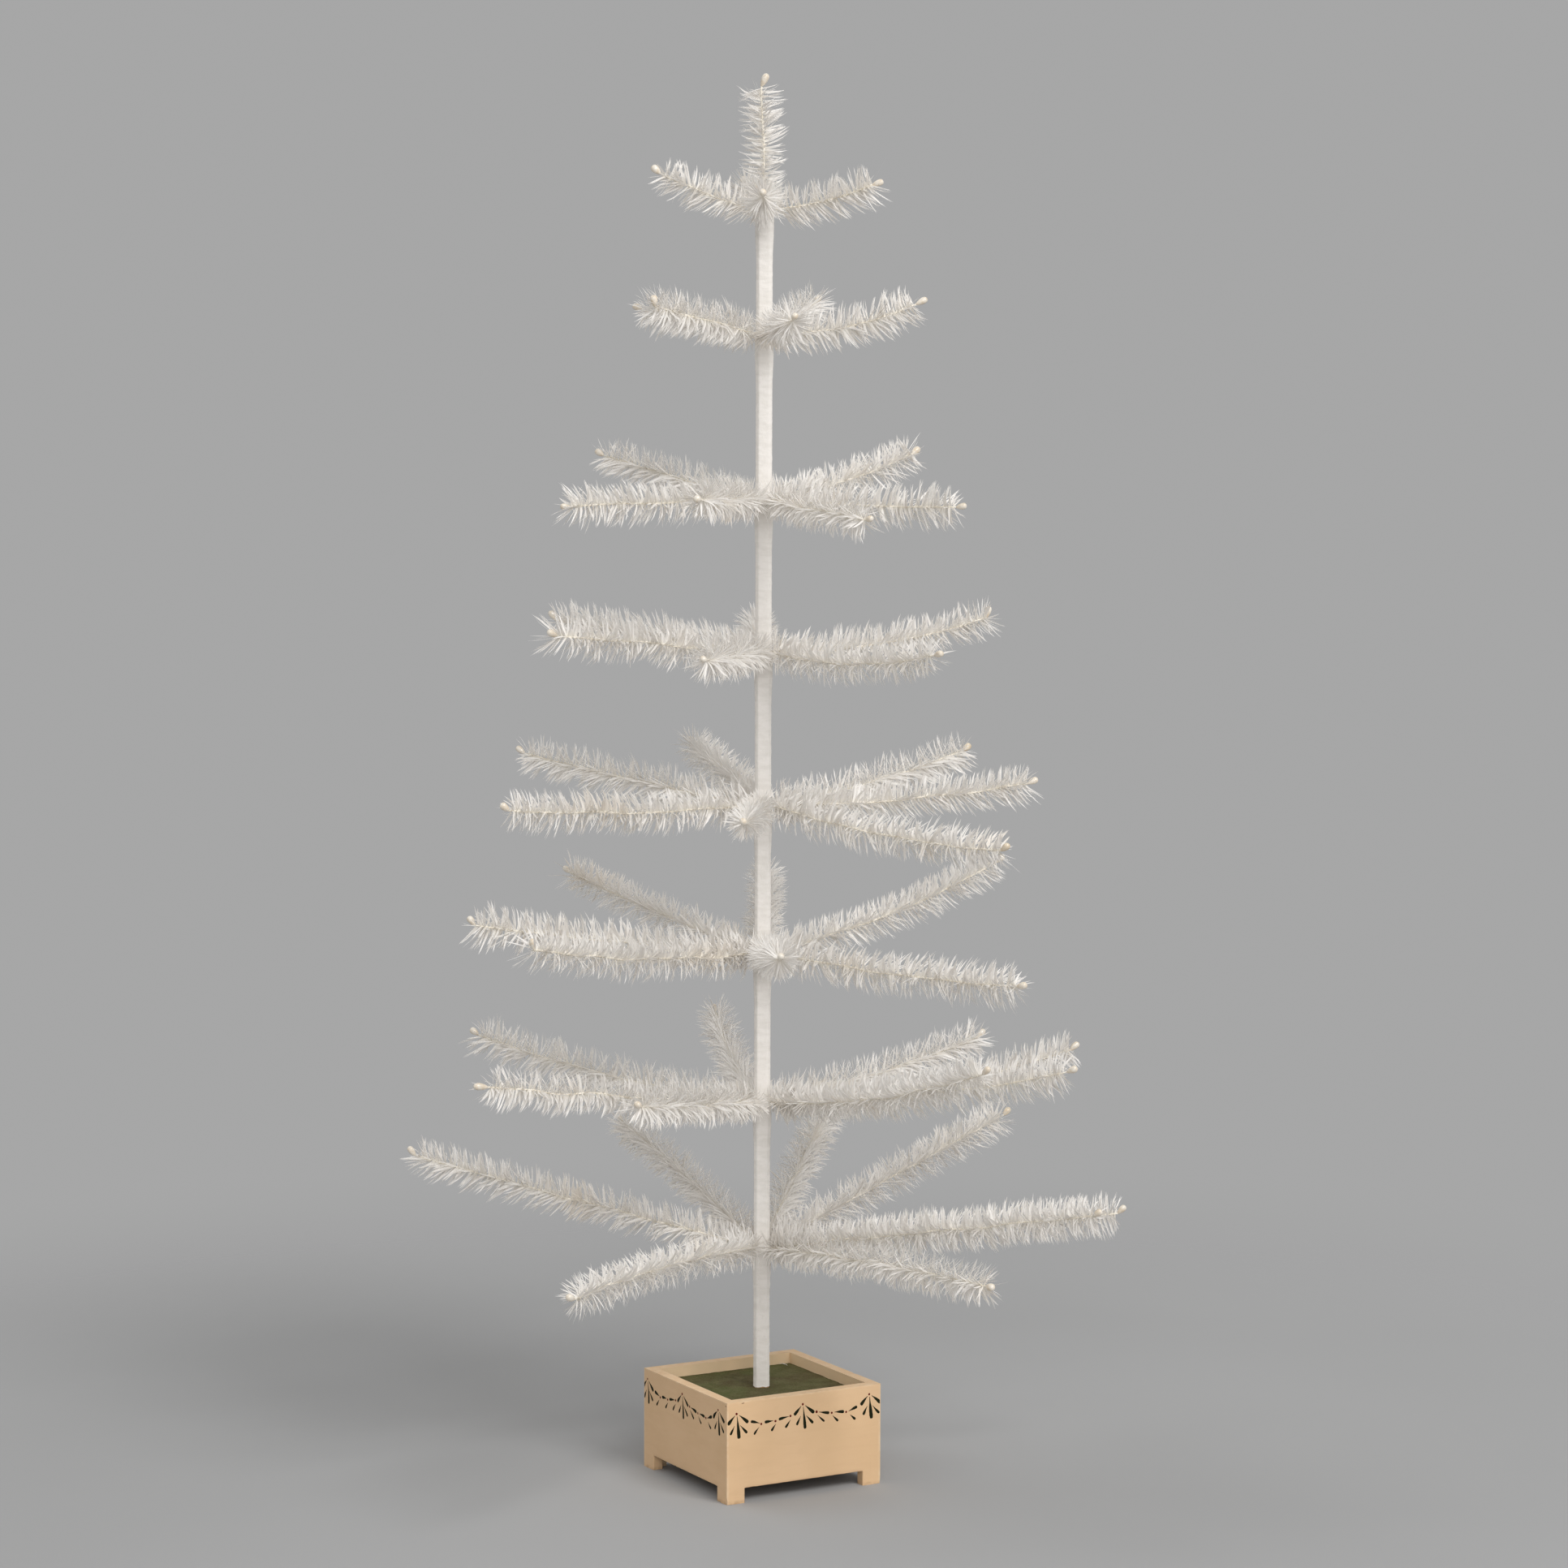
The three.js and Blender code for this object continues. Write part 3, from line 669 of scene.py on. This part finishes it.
mark("nail_mark_left", "left", HALF - 2.6, 3.6, 2.2, 1.2, -10, MARK)
mark("scratch_front", "front", -HALF + 19.5, 1.9, 3.4, 0.8, 4, MARK)
mark("nail_mark_back", "right", HALF - 4.0, 55.0, 1.8, 1.4, 20, MARK)


# Moss board with a ragged edge and a hole round the pole
BOARD_GAP = 0.05
HOLE_GAP = 0.35


def moss_board():
    rng = np.random.default_rng(31)
    side = HALF - WALL - BOARD_GAP
    around = 160
    edges = [wave_noise(rng, 9, 3, 26) for _ in range(4)]
    t = np.arange(around) / around * 4
    border = []
    for place in t:
        k = int(place)
        along = ((place - k) * 2 - 1) * side
        inset = side - max(0.0, 0.28 * float(edges[k](along + side)) + 0.1)
        border.append(((along, -inset), (inset, along), (-along, inset), (-inset, -along))[k])
    border = np.array(border)
    azimuth = np.degrees(np.arctan2(border[:, 1], border[:, 0]))
    hole = np.array([reach(HOLE_GAP, a) for a in azimuth])
    rays = unit(border)
    rim = rays * hole[:, None]
    bump = [wave_noise(rng, 8, 8, 60) for _ in range(2)]
    verts = []
    shares = np.linspace(0, 1, 22) ** 1.1
    for share in shares:
        ring = rim * (1 - share) + border * share
        z = BOARD_TOP + 0.18 * bump[0](ring[:, 0]) * bump[1](ring[:, 1])
        z = np.where(share > 0.995, z - 0.25, z)
        verts.append(np.concatenate([ring, z[:, None]], 1))
    low = np.full((around, 1), BOARD_TOP - BOARD_THICKNESS)
    verts.append(np.concatenate([border, low], 1))
    verts.append(np.concatenate([rim, low], 1))
    verts.append(np.concatenate([rim, verts[0][:, 2:]], 1))
    # The rings run outward on top, so each face is turned over to look out of the board
    faces = grid_faces(len(verts), around)[:, ::-1]
    made = piece("moss_board_top_layer", np.concatenate(verts), [faces], MOSS)
    made.data.set_sharp_from_angle(angle=math.radians(40))
    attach(made, "stand")
    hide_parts("moss_board")


moss_board()

for node in ("trunk_pole", "socket_block"):
    for material_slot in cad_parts[node].material_slots:
        material_slot.link = "OBJECT"
        material_slot.material = WOOD


# Paper wrap round the pole: width of its strip, and distance between the mesh's rings
STRIP_WIDTH = 11.0
RING_STEP = 1.6


def trunk_wrap():
    rng = np.random.default_rng(5)
    corners = np.array([POLE_TURN + 90 * k + side * WRAP_CORNER for k in range(4) for side in (-1, 1)])
    flats = [POLE_TURN + 90 * k + a for k in range(4) for a in (-20, -7, 7, 20, 41, 49)]
    azimuth = np.sort(np.concatenate([corners - 2.2, corners, corners + 2.2, flats]))
    around = len(azimuth)
    heights, z = [WRAP_FOOT], WRAP_FOOT
    while z < POLE_TOP - 1.2:
        z += RING_STEP
        heights.append(min(z, POLE_TOP - 0.2))
    lean = STRIP_WIDTH / 360 * 0.8
    drift = wave_noise(rng, 8, 25, 160)
    depth = wave_noise(rng, 8, 15, 90)
    crumple = [wave_noise(rng, 10, 4, 22) for _ in range(6)]
    ragged = wave_noise(rng, 10, 20, 120)
    verts = []
    for index, h in enumerate(heights):
        level = np.full(around, h)
        lap = (h + lean * azimuth + 3.0 * drift(level)) / STRIP_WIDTH
        phase = lap - np.floor(lap)
        ledge = 0.2 * (0.6 + 0.5 * np.clip(depth(level), -1, 1)) * (1 - phase) ** 1.5
        rough = 0.09 * crumple[0](h + azimuth * 0.11) + 0.07 * crumple[1](h * 0.6 - azimuth * 0.2)
        rough += 0.05 * crumple[2](azimuth * 0.5 + h * 0.3)
        offset = WRAP_OFFSET + swell(level) - 0.12
        r = np.array([float(reach(o, a)) for o, a in zip(offset, azimuth)])
        # Soft corners
        nearest = np.min(np.abs((azimuth[:, None] - corners[None, :] + 180) % 360 - 180), axis=1)
        r = r - 0.1 * np.exp(-((nearest / 1.5) ** 2)) + np.clip(ledge + rough, -0.2, 0.5)
        if index == 0:
            level = h + 0.2 + 1.1 * np.clip(ragged(azimuth) + 0.35, 0, 1.6)
            r = r + 0.15
        a = np.radians(azimuth)
        verts.append(np.stack([r * np.cos(a), r * np.sin(a), level], -1))
    # The top narrows over the pole's end, round the leader's wire
    top = verts[-1]
    for share, up in ((0.86, 0.35), (0.5, 0.55), (0.2, 0.6)):
        verts.append(np.concatenate([top[:, :2] * share, np.full((around, 1), POLE_TOP + up)], 1))
    # The rim at the foot turns inward and up
    inner = verts[0].copy()
    inner[:, :2] *= 0.955
    inner[:, 2] += 0.3
    verts.insert(0, inner)
    higher = inner.copy()
    higher[:, 2] += 4
    verts.insert(0, higher)
    faces = [grid_faces(len(verts), around)]
    made = piece("paper_wrap_trunk", np.concatenate(verts), faces, PAPER)
    made.data.set_sharp_from_angle(angle=math.radians(60))
    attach(made, "trunk")
    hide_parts("trunk_wrap")


trunk_wrap()


# Feathered wires. BARB_STEPS and BARB_WIDTHS are shares along a barb, leans are in degrees, and
# nearer to the axis than NEAR_TRUNK barbs bend round the trunk.
WIRE_RADIUS = 0.95
WIRE_STEP = 1.3
TWIST_PITCH = 4.6
BARBS_START = 1.0
BARB_STEPS = np.array([0.0, 0.3, 0.74, 1.0])
BARB_WIDTHS = np.array([0.72, 1.0, 0.8, 0.0])
LEAST_LEAN, MOST_LEAN = -32, 82
NEAR_TRUNK = 14


def mid_line(length, along, berry_length, bow, rng, wander):
    """The wire's middle as a function of its share 0 to 1, and its end, in the branch's own frame."""
    base = np.array([length, 0.0, 0.0]) + (BERRY_LENGTH / 2 - berry_length) * along
    side, rise = wave_noise(rng, 5, 70, 200), wave_noise(rng, 5, 60, 180)

    def at(u):
        u = np.asarray(u, float)
        x = base[0] * u
        hold = 4 * u * (1 - u)
        y = wander * hold * side(x)
        z = base[2] * u + bow * hold + wander * 0.7 * hold * rise(x)
        return np.stack([x, y, z], -1)

    return at, base


def line_frame(at, u):
    """Position, tangent, sideways and up along the middle line."""
    step = 1e-3
    position = at(u)
    tangent = unit(at(np.minimum(u + step, 1)) - at(np.maximum(u - step, 0)))
    sideways = unit(np.cross((0.0, 0.0, 1.0), tangent))
    return position, tangent, sideways, np.cross(tangent, sideways)


def barb_field(rng, at, base_x, start, stop, look):
    """The barbs of one wire: (n, 4, 3) middle points, widths, and the direction each is broad in.
    Barbs lie together in slivers, as the vane of a split quill wound round the wire does, with loose
    barbs between them."""
    run = stop - start
    slivers = int(run * look["slivers"])
    loose = int(run * look["loose"])
    middle = start + run * (np.arange(slivers) + rng.random(slivers)) / slivers
    side = np.arange(slivers) % 2
    warp = wave_noise(rng, 6, 25, 90)
    theta = 2 * np.pi * (middle / look["pitch"] + side / 2 + rng.random()) + 0.7 * warp(middle)
    theta += rng.normal(0, look["scatter"], slivers)
    members = rng.choice([1, 2, 3, 4, 5], slivers, p=look["members"])
    which = np.repeat(np.arange(slivers), members)
    order = np.arange(len(which)) - np.repeat(np.cumsum(members) - members, members)
    offset = (order - (members[which] - 1) / 2) * rng.uniform(0.7, 0.9, slivers)[which]
    # Lean towards the wire's tip: it wanders along the wire, and is more below than above
    lean_noise = [wave_noise(rng, 7, 14, 70) for _ in range(3)]
    long_noise = wave_noise(rng, 6, 18, 80)

    def lean_at(s, angle):
        down = (1 - np.sin(angle)) / 2
        wander = lean_noise[0](s) + lean_noise[1](s) * np.cos(angle) + lean_noise[2](s) * np.sin(angle)
        return look["lean_up"] + (look["lean_down"] - look["lean_up"]) * down + look["wander"] * wander

    sliver_lean = lean_at(middle, theta) + rng.normal(0, 4.5, slivers)
    near_end = smoothstep((middle - (stop - look["burst_run"])) / look["burst_run"])
    facing = np.clip(np.cos(theta - look["burst_to"]) + 0.35 + look["burst_all"], 0, 1)
    sliver_lean = sliver_lean + near_end * facing * look["burst"] * rng.uniform(0.4, 1.1, slivers)
    at_trunk = np.clip(1 - (middle - start) / 12, 0, 1)
    sliver_lean = sliver_lean + at_trunk * rng.normal(0, 14, slivers)
    less = 0.14 + 0.3 * facing * max(look["burst"], 0) / 60
    shorter = 1 - near_end * less * max(1 - look["burst_all"], 0)
    sliver_reach = look["reach"] * rng.normal(1, 0.065, slivers) * (1 + 0.07 * long_noise(middle)) * shorter
    gather = rng.uniform(0.0, 0.2, slivers)
    beta = np.radians(rng.normal(look["quill"], 14, slivers))

    s = np.concatenate([middle[which], start + run * rng.random(loose)])
    angle = np.concatenate([theta[which], 2 * np.pi * rng.random(loose)])
    held = len(which)
    lean = np.concatenate([
        sliver_lean[which] + rng.normal(0, 1.1, held),
        lean_at(s[held:], angle[held:]) + rng.normal(0, 20, loose)])
    reach_mm = np.concatenate([
        sliver_reach[which] * (1 - rng.uniform(0, 0.12, held)),
        look["reach"] * rng.uniform(0.62, 1.04, loose)])
    offset = np.concatenate([offset, np.zeros(loose)])
    gather = np.concatenate([gather[which], np.zeros(loose)])
    beta = np.concatenate([beta[which], rng.uniform(-1.5, 1.5, loose)])
    bend = np.concatenate([
        rng.normal(look["curve"], 0.8, slivers)[which] + rng.normal(0, 0.15, held),
        rng.normal(look["curve"], 1.6, loose)])
    side_bend = np.concatenate([rng.normal(0, 0.7, slivers)[which], rng.normal(0, 1.4, loose)])
    width = np.concatenate([rng.normal(look["width"], 0.12, held), rng.normal(0.6, 0.12, loose)])
    lean = np.radians(np.clip(lean, LEAST_LEAN, MOST_LEAN))

    position, tangent, sideways, up = line_frame(at, s / base_x)
    outward = np.cos(angle)[:, None] * sideways + np.sin(angle)[:, None] * up
    round_it = np.cross(tangent, outward)
    quill = np.cos(beta)[:, None] * tangent + np.sin(beta)[:, None] * round_it
    length = reach_mm / np.maximum(np.cos(np.minimum(lean, 0.75)), 0.75)
    root = position + outward * (WIRE_RADIUS * 0.75) + quill * offset[:, None]
    tip = position + tangent * (length * np.sin(lean))[:, None] + outward * (length * np.cos(lean))[:, None]
    tip += quill * (offset * gather)[:, None]
    line = tip - root
    t = BARB_STEPS
    hump = (4 * t * (1 - t))[None, :, None]
    bow = -tangent * bend[:, None] + round_it * side_bend[:, None] + quill * (0.22 * offset)[:, None]
    middle_points = root[:, None, :] + line[:, None, :] * t[None, :, None] + bow[:, None, :] * hump
    return middle_points, np.clip(width, 0.35, 1.6), quill


def off_trunk(points):
    """Barbs bend round the trunk instead of passing into it."""
    flat = points.reshape(-1, 3)
    r = np.hypot(flat[:, 0], flat[:, 1])
    near = (r < NEAR_TRUNK) & (flat[:, 2] < POLE_TOP)
    azimuth = np.degrees(np.arctan2(flat[near, 1], flat[near, 0]))
    limit = reach(WRAP_OFFSET, azimuth) + swell(flat[near, 2]) + 0.45
    flat[near, :2] *= np.maximum(1, limit / np.maximum(r[near], 0.5))[:, None]
    return flat.reshape(points.shape)


def barb_ribbons(rng, middle, width, broad):
    """Ribbons with pointed tips: vertices, faces, and each vertex's place along its barb."""
    count = len(middle)
    line = unit(middle[:, 3] - middle[:, 0])
    across = broad + rng.normal(0, 0.22, (count, 3))
    across = unit(across - line * (across * line).sum(1)[:, None])
    twist = np.cross(line, across)
    roll = rng.normal(0, 0.45, count)
    verts = np.empty((count, 7, 3))
    for k in range(3):
        angle = roll * BARB_STEPS[k]
        side = across * np.cos(angle)[:, None] + twist * np.sin(angle)[:, None]
        half = (width * BARB_WIDTHS[k] / 2)[:, None] * side
        verts[:, 2 * k] = middle[:, k] - half
        verts[:, 2 * k + 1] = middle[:, k] + half
    verts[:, 6] = middle[:, 3]
    base = (np.arange(count) * 7)[:, None]
    quads = np.concatenate([base + np.array([[0, 1, 3, 2]]), base + np.array([[2, 3, 5, 4]])])
    tips = base + np.array([[4, 5, 6]])
    tone = np.tile(BARB_STEPS[[0, 0, 1, 1, 2, 2, 3]], count)
    return verts.reshape(-1, 3), quads, tips, tone


def feather_piece(name, rng, middle, width, broad):
    points, quads, tips, tone = barb_ribbons(rng, middle, width, broad)
    made = piece(name, points, [quads, tips], FEATHER, smooth=False)
    layer = made.data.attributes.new("barb_place", "FLOAT", "POINT")
    layer.data.foreach_set("value", tone.astype(np.float32))
    return made


def circle(around, one, other):
    """Unit vectors round a line, from two directions across it: (rings, around, 3)."""
    phi = full_turn(around)[None, :, None]
    return np.cos(phi) * one[..., None, :] + np.sin(phi) * other[..., None, :]


def wire_tube(at, base_x, rng):
    """The paper-bound wire: a thin tube with a twisted ridge and small lumps."""
    rings = int(base_x / WIRE_STEP)
    around = 8
    u = np.linspace(0, 1, rings)
    position, tangent, sideways, up = line_frame(at, u)
    lumps = wave_noise(rng, 10, 2.5, 9)
    phi = full_turn(around)
    x = u * base_x
    ridge = 0.16 * np.sin(phi[None, :] - (2 * np.pi * x / TWIST_PITCH)[:, None])
    r = WIRE_RADIUS + ridge + 0.14 * np.clip(lumps(x), -0.8, 1.2)[:, None]
    r[0] *= 0.75
    points = position[:, None, :] + r[:, :, None] * circle(around, sideways, up)
    return points.reshape(-1, 3), tube_faces(rings, around)


# The berry's outline: place along its length, and share of its full width
BERRY_PROFILE = np.array([
    (0, 0.26), (0.03, 0.34), (0.07, 0.42), (0.12, 0.52), (0.2, 0.65), (0.3, 0.78), (0.41, 0.89),
    (0.52, 0.965), (0.63, 1), (0.73, 0.985), (0.82, 0.915), (0.89, 0.79), (0.945, 0.6), (0.98, 0.37),
    (0.997, 0.14)]).T


def berry_shape(base, along, size, rng):
    """A glossy egg, its narrow end at the wire."""
    around = 18
    t, share = BERRY_PROFILE
    radius = size[1] / 2 * share
    phi = full_turn(around)
    other = unit(np.cross(along, (0.0, 1.0, 0.0)))
    third = np.cross(along, other)
    oval = 1 + 0.03 * np.cos(2 * phi + rng.uniform(0, 6))
    middle = base + along * (t * size[0])[:, None]
    points = middle[:, None, :] + (radius[:, None] * oval)[:, :, None] * circle(around, other, third)
    return points.reshape(-1, 3), tube_faces(len(t), around)


def standing(along, side, origin):
    """A 4x4 from its first two axes and its origin."""
    m = np.eye(4)
    m[:3] = np.stack([along, side, np.cross(along, side), origin], -1)
    return m


def branch_frame(azimuth, elevation, hinge, height):
    a, e = math.radians(azimuth), math.radians(elevation)
    chord = np.array([math.cos(e) * math.cos(a), math.cos(e) * math.sin(a), math.sin(e)])
    side = np.array([-math.sin(a), math.cos(a), 0])
    return standing(chord, side, (hinge * math.cos(a), hinge * math.sin(a), height))


def look_for(rng, **changes):
    """How one branch's feathers stand: it differs a little from branch to branch."""
    look = {
        # Slivers and loose barbs for each millimetre of wire, one turn of the winding, its scatter,
        # and how often a sliver has 1 to 5 barbs
        "slivers": 2.4, "loose": 0.5, "pitch": rng.uniform(7.0, 10.5), "scatter": 0.3,
        "members": (0.14, 0.34, 0.33, 0.15, 0.04),
        # Degrees of lean towards the tip, above and below, and how much it wanders
        "lean_up": rng.uniform(10, 20), "lean_down": rng.uniform(18, 30), "wander": rng.uniform(5, 10),
        # Further lean close to the berry, on one side or all round, over a run, towards an angle
        "burst": rng.uniform(0, 14), "burst_all": 0, "burst_run": 13, "burst_to": rng.uniform(-2.6, -0.5),
        # The split quill's slant, and each barb's reach, curve and width
        "quill": rng.choice([-26, 26]), "reach": rng.uniform(25.0, 27.5), "curve": 0.9, "width": 0.98,
    }
    look.update(changes)
    return look


def feathered(key, body, node, matrix, length, bow, along, rng, look, bare):
    """Wire, berry and feathers of one branch, riding on its body and standing for its CAD node."""
    size = BERRY_SIZES.get(key, np.array([BERRY_LENGTH, BERRY_WIDTH]) * rng.normal(1, 0.04, 2))
    at, base = mid_line(length, along, size[0], bow, rng, 1.5 if length > 130 else 0.7)
    wire_points, wire_faces = wire_tube(at, base[0], rng)
    wire = piece("wire_" + key, moved(wire_points, matrix), wire_faces, WIRE)
    berry_points, berry_faces = berry_shape(base, along, size, rng)
    lacquer = TAN_AND_SHADED_BERRY if key in TAN_AND_SHADED_BERRIES else BERRY
    berry = piece("berry_" + key, moved(berry_points, matrix), berry_faces, lacquer)
    middle, width, broad = barb_field(rng, at, base[0], BARBS_START, base[0] - bare, look)
    middle = off_trunk(moved(middle, matrix))
    feathers = feather_piece("feathers_" + key, rng, middle, width, broad @ matrix[:3, :3].T)
    for made in (wire, berry, feathers):
        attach(made, body)
    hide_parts(node)


# Bare wire before the berry, in millimetres, where it isn't drawn from the branch's own seed
BARE_ENDS = {
    "7_left": 3.0, "8_right_back": 7.0, "3_left": 1.0, "2_right": 3.0, "2_left_a": 4.0, "5_left_back": 4.0,
    "1_right": 0.5, "3_right_back": 0, "5_right_back": 0, "7_right_back": 0, "8_right_2": 0, "4_right": 0,
    "6_left_front": 0, "4_left_b": 0, "2_left_b": 0,
}
# Berries that differ from the rest, as length and width
BERRY_SIZES = {
    "7_left": (17.0, 8.0), "leader": (14.8, 8.2), "1_left": (12.4, 8.3), "2_right": (13.6, 7.4),
    "3_left": (10.5, 6.8),
}
# Berries in the darker, warmer lacquer: partly their own tan and partly painted shade where they sit in
# shadow
TAN_AND_SHADED_BERRIES = {"5_right_back", "5_right_front", "8_right_back"}
# How some branches' feathers stand, where it differs from the rest
LOOKS = {
    "1_right": {"burst": 0, "lean_up": 3, "lean_down": 32, "wander": 6},
    "1_left": {"burst": 30, "burst_to": -1.6},
    "3_right_back": {"burst": -46, "burst_to": 2.4, "burst_run": 22},
    "5_right_back": {"burst": -30, "burst_to": 2.0, "burst_run": 18},
    "6_right_back": {"burst": -40, "burst_to": 2.6, "burst_run": 16},
    "7_right_back": {"burst": 25, "burst_to": 2.6, "burst_run": 24},
    "5_front": {"burst": 0, "lean_up": 16, "lean_down": 30, "reach": 21.8, "width": 0.88},
    "5_right_front": {"burst": -55, "burst_to": -1.57, "burst_run": 16},
    "4_right": {"burst": 30, "burst_all": 1},
    "6_left_front": {"burst": 35, "burst_all": 1},
    "4_left_b": {"burst": 40, "burst_all": 1},
    "2_left_a": {"burst": -12, "lean_up": 6, "lean_down": 12, "wander": 5},
    "2_left_b": {"burst": 10, "burst_all": 0.5},
    "8_right_2": {"burst": -6, "lean_up": 8, "lean_down": 14},
    "8_left": {"burst": 42, "burst_to": -1.6, "burst_run": 24, "lean_up": 17},
    "8_front_left": {"burst": 35, "burst_to": -1.2, "burst_run": 20},
    "7_left_back": {"burst": 12, "burst_to": -1.6, "lean_up": 10, "lean_down": 20},
    "6_left_back": {"burst": 40, "burst_all": 1},
    "8_right": {"burst": -12, "lean_up": 6, "lean_down": 12},
    "7_left": {"burst": 8},
}

for number, (height, tier_length, rows) in TIERS.items():
    for name, azimuth, elevation, bow_share, bend in rows:
        rng = np.random.default_rng(1000 * number + int(azimuth) * 3 + 17)
        key = f"{number}_{name}"
        hinge = float(reach(HINGE_OFFSET, azimuth))
        length = tier_length * LENGTH_SHARES.get(key, 1) + LENGTH_DATUM - hinge
        bare = BARE_ENDS.get(key, rng.uniform(0.5, 5.0))
        b = math.radians(bend)
        place = branch_frame(azimuth, elevation, hinge, height)
        look = look_for(rng, **LOOKS.get(key, {}))
        feathered(
            key, f"branch_{key}_arm", f"branch_{key}", place, length, bow_share * tier_length,
            np.array([math.cos(b), 0.0, math.sin(b)]), rng, look, bare)

# Leader: the same, standing on the pole, with a little bare wire below its berry
LEADER_BARE = 2.0
leader_rng = np.random.default_rng(99)
turn = math.radians(LEADER_LEAN_TO)
leader_frame = standing((0, 0, 1), (-math.sin(turn), math.cos(turn), 0), (0, 0, POLE_TOP))
# Its third axis points away from the lean, so the berry bends against that axis
tilt = math.radians(LEADER_TILT)
feathered(
    "leader", "trunk", "leader", leader_frame, LEADER_LENGTH - BERRY_LENGTH / 2, 0.0,
    np.array([math.cos(tilt), 0.0, -math.sin(tilt)]), leader_rng,
    look_for(leader_rng, slivers=1.9, loose=0.4, pitch=8.6, lean_up=8, lean_down=13, wander=8, reach=27.5,
             burst=-14, burst_run=10), LEADER_BARE)


# A shed barb on the moss board
def shed_barb():
    rng = np.random.default_rng(3)
    a, b = np.array([68.7, 82.2, BOARD_TOP + 0.9]), np.array([72.3, 68.8, BOARD_TOP + 0.5])
    t = BARB_STEPS
    middle = (a + (b - a) * t[:, None])[None]
    middle[0, :, 0] += 1.6 * 4 * t * (1 - t)
    middle[0, :, 2] += 0.8 * 4 * t * (1 - t)
    made = feather_piece("shed_barb", rng, middle, np.array([1.5]), np.array([[0.5, 0.8, 0.1]]))
    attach(made, "stand")


shed_barb()


# Camera at the photograph's place: heading, pitch and roll in degrees, and place in metres
PHOTO_ANGLES = (60.4026, 4.5418, 0.1823)
PHOTO_PLACE = (-2.0501, -3.6553, 1.0942)
PHOTO_LENS = 89.07


def photo_camera():
    heading, pitch, roll = (math.radians(a) for a in PHOTO_ANGLES)
    level = Vector((math.sin(heading), -math.cos(heading), 0))
    forward = Vector((math.cos(heading), math.sin(heading), 0)) * math.cos(pitch)
    forward.z = -math.sin(pitch)
    upright = level.cross(forward)
    right = level * math.cos(roll) + upright * math.sin(roll)
    up = -level * math.sin(roll) + upright * math.cos(roll)
    camera = placed("photo_camera", bpy.data.cameras.new("photo_camera"))
    camera.data.lens = PHOTO_LENS
    camera.data.sensor_width = 36
    camera.data.clip_end = 100
    turn = Matrix((right, up, -forward)).transposed().to_4x4()
    camera.matrix_world = Matrix.Translation(PHOTO_PLACE) @ turn
    bpy.context.scene.camera = camera


photo_camera()

# Floor: a pale disc that fades into the same pale background, with its rings' radii in metres
BACKDROP = 0.385
FLOOR_COLOUR = 0.41
FLOOR_RINGS = (0.05, 0.5, 1.2, 4.0)


def floor():
    p = Paint("studio_floor")
    cloud = p.noise(1.5, 2)
    pale, deep = ((level, level, level, 1) for level in (FLOOR_COLOUR, FLOOR_COLOUR * 0.97))
    p.put(p.shader.inputs["Base Color"], p.mix(p.remap(cloud, 0.3, 0.7), pale, deep))
    p.shader.inputs["Roughness"].default_value = 0.9
    p.shader.inputs["Specular IOR Level"].default_value = 0.1
    flat = p.node("ShaderNodeVectorMath", Vector=p.stretched((1, 1, 0)))
    flat.operation = "LENGTH"
    fade = p.remap(flat.outputs["Value"], 0.7, 2.0)
    p.blend(fade, p.node("ShaderNodeBsdfTransparent"))
    sides = 96
    turn = full_turn(sides)
    ring = np.stack([np.cos(turn), np.sin(turn), np.zeros(sides)], -1)
    rings = np.concatenate([ring * r / MM for r in FLOOR_RINGS])
    faces = [grid_faces(len(FLOOR_RINGS), sides), np.arange(sides)[None, :]]
    piece("floor", rings, faces, p.material, smooth=False)


floor()

# Studio: even white light from all round, and a plain pale background for what is seen directly
AMBIENT = 0.39


def studio():
    world = bpy.data.worlds.new("studio")
    bpy.context.scene.world = world
    w = Nodes(world)
    path = w.node("ShaderNodeLightPath")
    direct = path.outputs["Is Camera Ray"]
    for kind in ("Is Glossy Ray", "Is Transmission Ray"):
        direct = w.math("MAXIMUM", direct, path.outputs[kind])
    even = w.node("ShaderNodeBackground", (1, 1, 1, 1), AMBIENT)
    seen = w.node("ShaderNodeBackground", (BACKDROP, BACKDROP, BACKDROP, 1), 1)
    pick = w.node("ShaderNodeMixShader", direct, even.outputs[0], seen.outputs[0])
    w.put(w.tree.nodes["World Output"].inputs["Surface"], pick.outputs[0])


studio()


LAMP_AIM = (0, 0, 0.8)


def lamp(name, kind, energy, towards):
    """A lamp that shines from a direction."""
    made = placed(name, bpy.data.lights.new(name, kind))
    made.data.energy = energy
    made.rotation_mode = "QUATERNION"
    made.rotation_quaternion = Vector(towards).to_track_quat("Z", "Y")
    return made


def softbox(name, place, power, side):
    """A large square soft lamp at a place in metres, turned to the tree's middle."""
    made = lamp(name, "AREA", power, Vector(place) - Vector(LAMP_AIM))
    made.data.shape = "SQUARE"
    made.data.size = side
    made.location = place


softbox("key", (1.28, -6.57, 6.8), 470, 3.6)
softbox("front", (-3.755, -7.7, 3.6), 215, 4.5)
fill = lamp("fill", "SUN", 0.42, (-0.45, 0.54, 0.71))
fill.data.angle = math.radians(40)

bpy.context.scene.view_settings.view_transform = "Standard"
